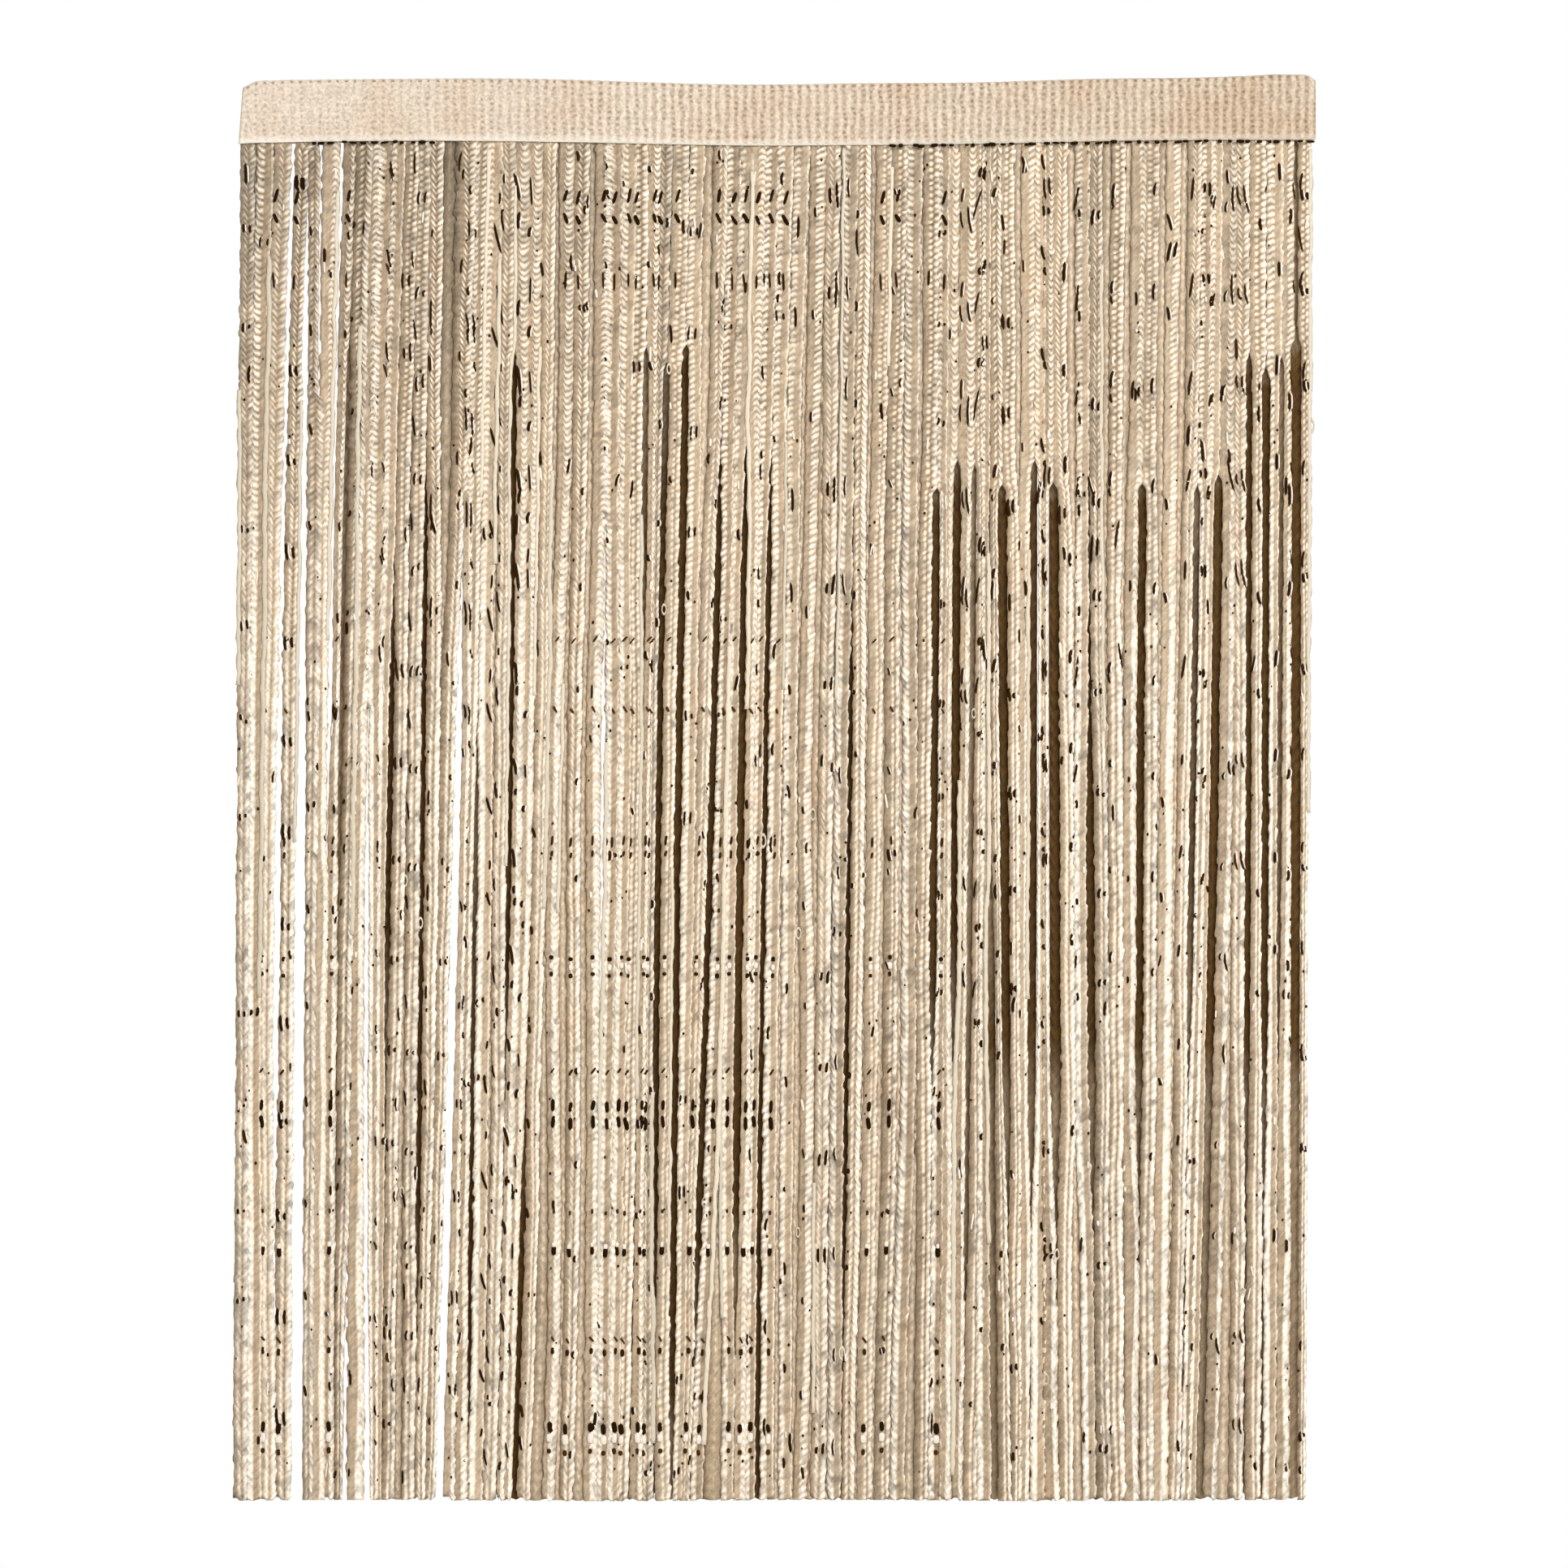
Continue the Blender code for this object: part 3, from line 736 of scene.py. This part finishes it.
def drawManner(look, kind, sides, dice):
    # how one cord is knitted and hangs, with a few waves of its own for each way that it varies down the drop
    manner = {
        "kind": kind,
        "sides": sides,
        "full": dice.uniform(*look["full"]),
        "strip": dice.uniform(*kind["strip"]) if kind["strip"] else None,
        "relief": dice.uniform(*look["relief"]),
        "tone": dice.gauss(look["tone"], look["cordTones"]),
        "start": dice.gauss(0, look["turn"]),
    }
    for name, counts in hang["waves"].items():
        manner[name] = [(dice.uniform(*counts) * 2 * math.pi, dice.uniform(0, 6)) for _ in range(3)]
    return manner


def wave(waves, share):
    return sum(np.sin(rate * share + phase) for rate, phase in waves) / len(waves)


def lowRightShare(x, z):
    # how far a place lies in the part low on the right, where the cords hang closer and catch more light
    return np.clip((-z - backLight["from"]) / backLight["over"], 0, 1) * (x > backLight["rightOf"])


def ringAt(rings, z):
    return smoothBetween(rings, np.interp(-z, -rings[:, 4], np.arange(len(rings)))).T


def cordShape(rings, look, manner, share):
    # middle and half size of a cord's section at shares of its drop, and the height there
    z = rings[0, 4] + (rings[-1, 4] - rings[0, 4]) * share
    left, right, front, back, _ = ringAt(rings, z)
    if manner["sides"]:
        fromLeft, fromRight = hang["slitLean"]
        left = left - spreadOf(manner["sides"][0], share, fromRight)
        right = right + spreadOf(manner["sides"][1], share, fromLeft)
        closer = hang["closerLow"] * lowRightShare((left + right) / 2, z)
        left, right = left - closer, right + closer
    flat = np.minimum(1, (back - front) / (rings[-1, 3] - rings[-1, 2]))
    halfDepth = look["depth"] / 2 * flat
    x = (left + right) / 2 + look["wobble"] * wave(manner["wobble"], share)
    y = {"front": front + halfDepth, "middle": (front + back) / 2, "back": back - halfDepth}[look["against"]]
    halfWidth = (right - left) / 2 * manner["full"] * (1 + hang["swelling"] * wave(manner["swell"], share))
    return x, y, z, halfWidth, halfDepth


def stretchStrip(across, foot, strip):
    # the flat strip takes its own share of the width, and the chain the rest
    edge = hang["edge"]
    inner = 2 * np.clip(strip, *hang["stripLimits"]) - edge
    return np.where(across <= foot, -edge + (across + edge) / (foot + edge) * (inner + edge),
                    inner + (across - foot) / (edge - foot) * (edge - inner))


def shadeCord(cord, rings, look, x, z, lowRight):
    # a cord behind is wide where the gap before it is, and is painted in the front cords' shade there; on the
    # back ones that painted shade is brown
    left, right = ringAt(rings, z)[:2]
    narrow, wide = look["shadedOver"]
    shade = np.clip((right - left - narrow) / (wide - narrow), 0, 1)
    if look["against"] == "front":
        brown = np.clip((-z - brownStart(x.mean())[0]) / brownOver, 0, 1)
        shade *= brownAbove + (1 - brownAbove) * brown
    writeValues(cord.data, "shade", shade * (1 - backLight["share"] * lowRight))


def hangCord(cord, rings, look, manner, dice):
    # bends a straight cord of unit stitches along the rings of its solid, and gives it its light and tones
    points = readPoints(cord.data)
    stitches = round(-(points[:, 2].min() + points[:, 2].max()))
    chance = np.random.default_rng(dice.randrange(10 ** 6))
    stitchNumber = np.clip(np.floor(-points[:, 2]).astype(int) + 1, 0, stitches + 1)
    quarter = (points[:, 0] > manner["kind"]["seam"]) + 2 * (points[:, 1] > 0)

    def varyQuarters(spread):
        return chance.normal(0, spread, (stitches + 2, 4))[stitchNumber, quarter]

    share = np.clip((varyQuarters(look["shift"]) - points[:, 2]) / stitches, 0, 1)
    share *= 1 - look["stretch"] * (1 - share)
    x, y, z, halfWidth, halfDepth = cordShape(rings, look, manner, share)
    lowRight = lowRightShare(x, z)
    deep = points[:, 1] * np.clip(1 + look["uneven"] * varyQuarters(1), *hang["legLimits"])
    edges = 1 + look["ragged"] * np.clip(varyQuarters(1), -hang["raggedMost"], hang["raggedMost"])
    across = points[:, 0]
    if manner["strip"]:
        sway = hang["stripSway"] * wave(manner["turning"], share)
        strip = manner["strip"] + sway + hang["stripLow"] * lowRight
        across = stretchStrip(across, manner["kind"]["foot"], strip)
    across = across * edges
    turn = manner["start"] + look["turn"] * wave(manner["turning"], share)
    writePoints(cord.data, np.column_stack([
        x + halfWidth * (across * np.cos(turn) - deep * np.sin(turn) * hang["rolled"]),
        y + halfDepth * (across * np.sin(turn) * hang["rolled"] + deep * np.cos(turn)), z]))
    if look["shadedOver"]:
        shadeCord(cord, rings, look, x, z, lowRight)

    rope = readValues(cord.data, "rope")
    proud = 0.5 + (readValues(cord.data, "proud") - 0.5) * manner["relief"]
    lower = np.clip((share - hang["glowFrom"]) / hang["glowOver"], 0, 1)
    outer = np.clip((np.abs(x) - hang["sidesFrom"]) / hang["sidesOver"], 0, 1)
    glow = look["glow"] * (1 + hang["glowSides"] * outer) + hang["glowLow"] * lowRight
    dull = look["dull"] + hang["dullLow"] * lowRight
    writeValues(cord.data, "proud", proud + lower * (rope * (1 - proud) * glow - (1 - rope) * dull))

    varied = varyQuarters(look["stitchTones"]) + chance.normal(0, look["grain"], len(points))
    varied = varied * (hang["flatVaries"] + (1 - hang["flatVaries"]) * rope) * (1 + hang["variedLow"] * lower)
    tones = manner["tone"] + varied + hang["streakTones"] * wave(manner["streaks"], share)
    tones += hang["lighterRight"] * lower * outer * (x > 0) * (1 - lowRight)
    rightward = (x - cadLow.x) / (cadHigh.x - cadLow.x)
    deeper = hang["duskLeft"] + (hang["duskRight"] - hang["duskLeft"]) * rightward
    dusk = 1 - look["dusk"] * deeper * np.clip(1 - (rings[0, 4] - z) / hang["duskOver"], 0, 1)
    writeValues(cord.data, "tone", np.clip(tones * dusk, *hang["toneLimits"]))


def rootedRings(rings, tape):
    # one more ring above the first, where the cord is held flat between the sleeve's walls
    top = rings[0].copy()
    top[2], top[3], top[4] = tape[0], tape[1], rings[0, 4] + hang["rootLift"]
    return np.vstack([top, rings])


def makeTape(key, material):
    # the narrow strip that holds a row's roots, along the hem and between the sleeve's walls
    front, back = cordRows[key]["tape"]
    bpy.ops.mesh.primitive_grid_add(x_subdivisions=hang["tapeColumns"], y_subdivisions=1, size=1.0,
                                    rotation=(math.pi / 2, 0, 0))
    tape = settled()
    points = readPoints(tape.data)
    low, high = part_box("heading")
    x = (low.x + high.x) / 2 + points[:, 0] * (high.x - low.x - hang["tapeInset"])
    hem = sleeveEdges(x)[0]
    writePoints(tape.data, np.column_stack([x, np.full(len(x), (front + back) / 2),
                                            hem + (points[:, 2] + 0.5) * hang["tapeTall"]]))
    strip = tape.modifiers.new("strip", "SOLIDIFY")
    strip.thickness = back - front
    strip.offset = 0.0
    bpy.ops.object.modifier_apply(modifier=strip.name)
    for name, value in hang["tapeValues"]:
        writeValues(tape.data, name, np.full(len(tape.data.vertices), value))
    return dress(tape, material)


def makeCordRow(key, material):
    look = cordRows[key]
    dice = random.Random(look["seed"])
    straight = 1 - look["twisted"]
    ways = ((look["slant"], True, look["twisted"]),
            (look["slant"], False, straight * (1 - hang["pointUp"])),
            (-look["slant"], False, straight * hang["pointUp"]))
    stitches = [(makeStitch(look, kind, slant, twisted), kind, often * kind["often"])
                for kind in look["outlines"] for slant, twisted, often in ways]
    cords, hangings = [], []
    solids = readCords(look["node"])
    sides = findSides(solids) if key == "front" else [None] * len(solids)
    for number, rings in enumerate(solids):
        rings = rootedRings(rings, look["tape"])
        drop = rings[0, 4] - rings[-1, 4]
        stitch, kind, _ = dice.choices(stitches, [often for _, _, often in stitches])[0]
        count = round(drop / (look["stitch"] * dice.uniform(*hang["stitchVaries"])))
        cord = knitCord(stitch, f"{key}_cord_{number}", count)
        manner = drawManner(look, kind, sides[number], dice)
        hangCord(cord, rings, look, manner, dice)
        cords.append(dress(cord, material))
        hangings.append((rings, manner))
    for stitch, _, _ in stitches:
        bpy.data.objects.remove(stitch, do_unlink=True)
    for cord in cords:
        cord.data.shade_smooth()
    size = math.ceil(len(cords) / look["pieces"])
    for part in range(look["pieces"]):
        group = cords[part * size:(part + 1) * size]
        if part == 0:
            group.append(makeTape(key, material))
        ownPiece(joinAs(f"{key}_cords_{part + 1}", group), look["slot"], look["node"])
    report(f"{key} row, {len(cords)} cords")
    return hangings


# Film flecks, painted glints, bright yarns, loops, and dark dashes of painted shadow under the hem

film = {
    "seed": 21,
    "drops": (60 * mm, 1175 * mm), "lightDrops": (75 * mm, 1175 * mm),
    "reach": (-0.9, 0.9),         # across a cord, in half widths
    "lastShare": 0.995,           # nothing lies on a cord below this share of its drop
    # A flat film yarn comes to the face now and then: such dashes repeat down a cord, in one or two columns.
    "columns": (1, 1, 2, 2), "columnsInZone": (0, 0, 1),
    "firstDash": (65 * mm, 130 * mm), "lastDash": 1170 * mm, "repeat": (75 * mm, 86 * mm),
    "shown": 0.8,                 # share of the repeats that show
    "dashSides": (-1, -1, 1), "dashReach": (0.2, 0.85),
    "dashVaries": (0.75, 1.2), "bowVaries": (-0.5, 1),
    # down to this drop, and outside the mark zones, they are longer
    "longer": 1.6, "longerTo": 500 * mm,
    "strayPerCord": 3,
    # some come in pairs, side by side on the cord, and some have a painted highlight on their right: a scrap
    # of pearl film
    "paired": 0.12, "twinLength": (0.4, 0.9), "twinShift": 1.5 * mm, "twinAside": 0.85,
    "edging": 0.45, "edgeAside": 0.75, "edgeProud": 0.2 * mm, "edgeWidth": 0.6, "edgeLength": 0.9,
    # lengths are the shortest, the usual and the longest
    "darkLength": (3.5 * mm, 6.5 * mm, 17.0 * mm),
    "darkWidth": (1.7 * mm, 2.9 * mm),
    "dotsPerCord": 11, "dotSize": (1.5 * mm, 2.5 * mm), "dotLonger": (1.0, 1.5),
    "fewLow": 0.7,                # share left out low on the right
    # scraps of white pearl film on each cord: painted glints
    "lightPerCord": 4,
    "lightLength": (3.0 * mm, 6.0 * mm, 16.0 * mm),
    "lightWidth": (1.6 * mm, 2.8 * mm),
    "thick": 1.3 * mm,
    "shoulder": 1.25,             # how much fuller a scrap is beside its middle
    "bow": 1.3 * mm,
    "tilt": math.radians(6),
    "paleTo": 2.7,                # the palest dark flecks are this many times as light
    "markZones": [(-448 * mm, -346 * mm), (-189 * mm, 13 * mm), (76 * mm, 145 * mm)],
    "markStep": 1.6 * mm,
    "markShare": 0.68,            # share of the cords there that carry marks
    # across a cord a mark lies here where there is no strip, and otherwise this far past the strip
    "markAside": 0.1, "markPast": 0.15, "markTilt": 4,
    "markWider": (0.95, 1.3), "markLonger": (0.85, 1.15),
    # dark dashes under the hem, painted shadow where the cords go into the sleeve: how far apart, how long,
    # how wide, how low, and where along the width they show
    "hemPitch": 8.5 * mm, "hemUneven": (0, 0.6), "hemTilt": 0.08, "hemBehind": 1.5 * mm,
    "hemLength": (3.5 * mm, 7.5 * mm), "hemWidth": (2.0 * mm, 3.4 * mm),
    "hemDrop": (0.8 * mm, 2.0 * mm),
    "hemZones": [(-392 * mm, -285 * mm), (95 * mm, 450 * mm)],
}
# Marks that neighbouring cords carry at the same drop. Columns: drop, length and width in mm, tilt in
# degrees, and lightness against the darkest film, or 0 for knots of pearl film, whose white is a painted
# glint.
marks = [
    (94, 12, 2.6, 14, 1.0), (113, 9.5, 3.0, -24, 1.0), (165, 14, 1.8, 0, 1.6), (466, 6, 1.6, 38, 3.0),
    (525, 6, 1.8, -30, 4.0), (635, 8.5, 2.0, 6, 2.4), (646, 5.5, 2.2, 10, 2.4), (733, 3.8, 3.2, 0, 1.2),
    (740, 6.0, 3.4, 0, 0), (747, 3.8, 3.0, 0, 1.6), (828, 6, 1.8, 34, 2.4), (857, 10, 3.0, 3, 1.0),
    (871, 11, 3.4, -3, 1.0), (946, 4, 2.0, 0, 3.0), (974, 4.5, 3.2, 0, 0), (979, 8, 3.4, 0, 1.1),
    (1053, 6, 1.6, -34, 3.0), (1063, 6, 2.8, 0, 2.0), (1127, 9, 3.8, 0, 1.1), (1136, 8.5, 5.0, 0, 0),
    (1147, 5, 3.0, 0, 3.0),
]
yarns = {
    "seed": 33,
    "perCord": (0, 0, 0, 1, 1),
    "from": 50 * mm, "to": 1185 * mm,
    "length": (90 * mm, 300 * mm, 800 * mm),
    "halfWidth": (1.4 * mm, 2.3 * mm),
    "halfDepth": 1.2 * mm,
    # where they lie on a cord, in its half widths and half depths
    "aside": 0.86, "sway": 0.12, "proud": 0.75,
    "wander": 0.35 * mm,
    "link": 5.0 * mm,
    "unevenness": 0.20, "unevenLimits": (0.5, 1.5),
    # share of the yarns on a cord's right flank, the lit side, where they add a painted highlight
    "rightShare": 0.72,
    "tones": (0.8, 1.0),
    "loops": 24, "loopSides": (-1, -1, 1), "loopDrops": (200 * mm, 1150 * mm),
    "loopReach": 0.9, "loopOut": 1.2 * mm, "loopYarn": 0.28,
    "loopSize": (2.2 * mm, 1.2 * mm, 5.0 * mm), "loopVaries": (0.7, 1.1),
}


def makeFilmShape(rings):
    # a folded scrap of film: a flat spindle
    bpy.ops.mesh.primitive_uv_sphere_add(segments=5, ring_count=rings, radius=1.0)
    shape = bpy.context.active_object
    points = readPoints(shape.data)
    shoulder = np.abs(np.abs(points[:, 2]) - math.sqrt(0.5)) < 0.1
    points[shoulder, :2] *= film["shoulder"]
    writePoints(shape.data, points)
    shape.data.shade_smooth()
    return shape


def placeFilm(shape, place, width, length, tilt, bow=0.0, lightness=1.0):
    scrap = copyObject(shape, "scrap")
    points = readPoints(scrap.data)
    x = points[:, 0] * width / 2 + bow * (points[:, 2] ** 2 - 0.5)
    z = points[:, 2] * length / 2
    turned = np.column_stack([x * math.cos(tilt) + z * math.sin(tilt), points[:, 1] * film["thick"] / 2,
                              z * math.cos(tilt) - x * math.sin(tilt)])
    writePoints(scrap.data, turned + np.array(place))
    writeValues(scrap.data, "tone", np.full(len(points), lightness))
    return scrap


def onCord(hanging, drop, aside):
    # a point on a front cord's face at a drop below the origin, aside from its middle in half widths
    rings, manner = hanging
    share = np.clip([(rings[0, 4] + drop) / (rings[0, 4] - rings[-1, 4])], 0, film["lastShare"])
    x, y, z, halfWidth, halfDepth = (value[0] for value in cordShape(rings, cordRows["front"], manner, share))
    proud = math.sqrt(max(0.0, 1 - aside * aside))
    return x + aside * halfWidth, y - halfDepth * proud, z


def drawLength(dice, lengths):
    shortest, usual, longest = lengths
    return dice.triangular(shortest, longest, usual)


def drawDash(dice):
    # the last two say whether it has a painted highlight on its right and a twin
    length = drawLength(dice, film["darkLength"])
    aside = dice.choice(film["dashSides"]) * dice.uniform(*film["dashReach"])
    width = dice.uniform(*film["darkWidth"])
    tilt = dice.gauss(0, film["tilt"])
    bow = dice.uniform(*film["bowVaries"]) * film["bow"]
    lightness = film["paleTo"] ** (dice.random() ** 2)
    withHighlight = dice.random() < film["edging"]
    return aside, width, length, tilt, bow, lightness, withHighlight, dice.random() < film["paired"]


def drawDashes(dice, inZone):
    # drop and dash of all on one cord: a few strays, and one dash repeated down each column
    dashes = [(dice.uniform(*film["drops"]), drawDash(dice)) for _ in range(film["strayPerCord"])]
    for _ in range(dice.choice(film["columnsInZone"] if inZone else film["columns"])):
        dash = drawDash(dice)
        drop = dice.uniform(*film["firstDash"])
        while drop < film["lastDash"]:
            if dice.random() < film["shown"]:
                dashes.append((drop, dash))
            drop += dice.uniform(*film["repeat"])
    return dashes


def addDash(dark, light, shape, hanging, drop, dash, inZone, dice):
    # a dash, and perhaps its twin and its painted highlight, a scrap of pearl film on its right; few are left
    # low on the right
    aside, width, length, tilt, bow, lightness, withHighlight, paired = dash
    place = onCord(hanging, drop, aside)
    if place[0] > backLight["rightOf"] and drop > backLight["from"] and dice.random() < film["fewLow"]:
        return
    length = length * dice.uniform(*film["dashVaries"])
    if not inZone and drop < film["longerTo"]:
        length = length * film["longer"]
    tilt = tilt + dice.gauss(0, film["tilt"] / 2)
    dark.append(placeFilm(shape, place, width, length, tilt, bow, lightness))
    if paired:
        beside = onCord(hanging, drop + dice.gauss(0, film["twinShift"]),
                        aside - math.copysign(film["twinAside"], aside))
        dark.append(placeFilm(shape, beside, width, length * dice.uniform(*film["twinLength"]), tilt, bow,
                              lightness))
    if withHighlight:
        beside = (place[0] + width * film["edgeAside"], place[1] - film["edgeProud"], place[2])
        light.append(placeFilm(shape, beside, width * film["edgeWidth"], length * film["edgeLength"],
                               tilt, bow))


def addMarks(dark, light, shape, hanging, number, dice):
    # the marks of one cord; every other cord carries them a little lower
    strip = hanging[1]["strip"]
    aside = 2 * strip - 1 + film["markPast"] if strip else film["markAside"]
    for drop, length, width, tilt, lightness in marks:
        place = onCord(hanging, drop * mm + (number % 2) * film["markStep"], aside)
        tilt = math.radians(tilt + dice.gauss(0, film["markTilt"]))
        width = width * dice.uniform(*film["markWider"]) * mm
        length = length * dice.uniform(*film["markLonger"]) * mm
        if lightness:
            dark.append(placeFilm(shape, place, width, length, tilt, 0, lightness))
        else:
            light.append(placeFilm(shape, place, width, length, tilt))


def addHemShadowDashes(dark, shape, dice):
    # dark film dashes along the hem's edge: painted shadow of the hem over the cords' roots
    for low, high in film["hemZones"]:
        for step in range(round((high - low) / film["hemPitch"])):
            x = low + (step + dice.uniform(*film["hemUneven"])) * film["hemPitch"]
            hem = float(sleeveEdges(np.array([x]))[0][0])
            place = (x, cadLow.y + film["hemBehind"], hem - dice.uniform(*film["hemDrop"]))
            dark.append(placeFilm(shape, place, dice.uniform(*film["hemWidth"]),
                                  dice.uniform(*film["hemLength"]),
                                  math.pi / 2 + dice.gauss(0, film["hemTilt"])))


def makeFilm(hangings, darkMaterial, lightMaterial):
    dice = random.Random(film["seed"])
    shape, dot = makeFilmShape(4), makeFilmShape(3)
    dark, light = [], []
    for number, hanging in enumerate(hangings):
        inZone = any(low < hanging[0][0, 0] < high for low, high in film["markZones"])
        for drop, dash in drawDashes(dice, inZone):
            addDash(dark, light, shape, hanging, drop, dash, inZone, dice)
        for _ in range(film["dotsPerCord"]):
            place = onCord(hanging, dice.uniform(*film["drops"]), dice.uniform(*film["reach"]))
            size = dice.uniform(*film["dotSize"])
            dark.append(placeFilm(dot, place, size, size * dice.uniform(*film["dotLonger"]), 0, 0,
                                  film["paleTo"] ** dice.random()))
        # white pearl film scraps: painted glints
        for _ in range(film["lightPerCord"]):
            place = onCord(hanging, dice.uniform(*film["lightDrops"]), dice.uniform(*film["reach"]))
            length = drawLength(dice, film["lightLength"])
            light.append(placeFilm(shape, place, dice.uniform(*film["lightWidth"]), length,
                                   dice.gauss(0, film["tilt"])))
        if inZone and dice.random() < film["markShare"]:
            addMarks(dark, light, shape, hanging, number, dice)
    addHemShadowDashes(dark, shape, dice)
    for start in (shape, dot):
        bpy.data.objects.remove(start, do_unlink=True)
    ownPiece(dress(joinAs("film_flecks", dark), darkMaterial), "cream_cord")
    ownPiece(dress(joinAs("film_glints", light), lightMaterial), "cream_cord")
    report(f"film, {len(dark)} flecks and {len(light)} glints")


def makeYarns(hangings, material):
    # bright filament yarns that run down beside the stitches, mostly on a cord's right flank, where they are
    # also a painted highlight on the side the light comes from, and loops of them that stand out at the sides
    dice = random.Random(yarns["seed"])
    link = addTube(5)
    bpy.ops.mesh.primitive_torus_add(major_segments=10, minor_segments=4, major_radius=1.0,
                                     minor_radius=yarns["loopYarn"], rotation=(math.pi / 2, 0, 0))
    loop = settled()
    pieces = []
    for rings, manner in hangings:
        for _ in range(dice.choice(yarns["perCord"])):
            length = drawLength(dice, yarns["length"])
            start = dice.uniform(yarns["from"], yarns["to"] - length)
            side = 1 if dice.random() < yarns["rightShare"] else -1
            yarn = knitCord(link, "yarn", round(length / yarns["link"]))
            points = readPoints(yarn.data)
            drop = start + length * points[:, 2] / points[:, 2].min()
            share = (rings[0, 4] + drop) / (rings[0, 4] - rings[-1, 4])
            x, y, z, halfWidth, halfDepth = cordShape(rings, cordRows["front"], manner, np.clip(share, 0, 1))
            aside = side * (yarns["aside"] + yarns["sway"] * wave(manner["streaks"], share))
            x += aside * halfWidth + yarns["wander"] * wave(manner["swell"], share)
            y -= halfDepth * yarns["proud"]
            chance = np.random.default_rng(dice.randrange(10 ** 6))
            knots = np.clip(chance.normal(1, yarns["unevenness"], len(points)), *yarns["unevenLimits"])
            width = dice.uniform(*yarns["halfWidth"]) * knots
            writePoints(yarn.data, np.column_stack([x + width * points[:, 0],
                                                    y + yarns["halfDepth"] * points[:, 1], z]))
            pieces.append(yarn)
    for _ in range(yarns["loops"]):
        hanging = dice.choice(hangings)
        side = dice.choice(yarns["loopSides"])
        x, y, z = onCord(hanging, dice.uniform(*yarns["loopDrops"]), side * yarns["loopReach"])
        ring = copyObject(loop, "loop")
        size = np.array(yarns["loopSize"]) * dice.uniform(*yarns["loopVaries"])
        writePoints(ring.data, readPoints(ring.data) * size + np.array([x + side * yarns["loopOut"], y, z]))
        pieces.append(ring)
    for start in (link, loop):
        bpy.data.objects.remove(start, do_unlink=True)
    for piece in pieces:
        piece.data.shade_smooth()
        writeValues(piece.data, "tone", np.full(len(piece.data.vertices), dice.uniform(*yarns["tones"])))
    ownPiece(dress(joinAs("bright_yarns", pieces), material), "cream_cord")


makeCamera()
makeLights()
makeFloor()
report("camera, light and floor")
makeHeading(headingMaterial())
# The middle cords are beige and the back ones tan, each mixed towards a painted shade where a gap before them
# is wide: tan for the middle ones, brown for the back ones
creamCord = cordMaterial("chain-knitted cream polyester cord", "cream", "cream", "#f3dcc6")
tanCord = cordMaterial("chain-knitted tan polyester cord", "beige", "tan", "#ead2bc")
backCordPaintedBrown = cordMaterial("chain-knitted brown polyester cord", "tan", "brown", "#e6d2b8")
frontHangings = makeCordRow("front", creamCord)
makeCordRow("middle", tanCord)
makeCordRow("back", backCordPaintedBrown)
# the pearl film's white stands in for glints: a painted highlight
makeFilm(frontHangings, smoothMaterial("dark slit polyester film", "#281604", 0.6, 0.02),
         smoothMaterial("pearl slit polyester film", "#fff6e8", 0.4, 0.3))
makeYarns(frontHangings, smoothMaterial("bright polyester filament yarn", "#f8ecd6", 0.6, 0.15))
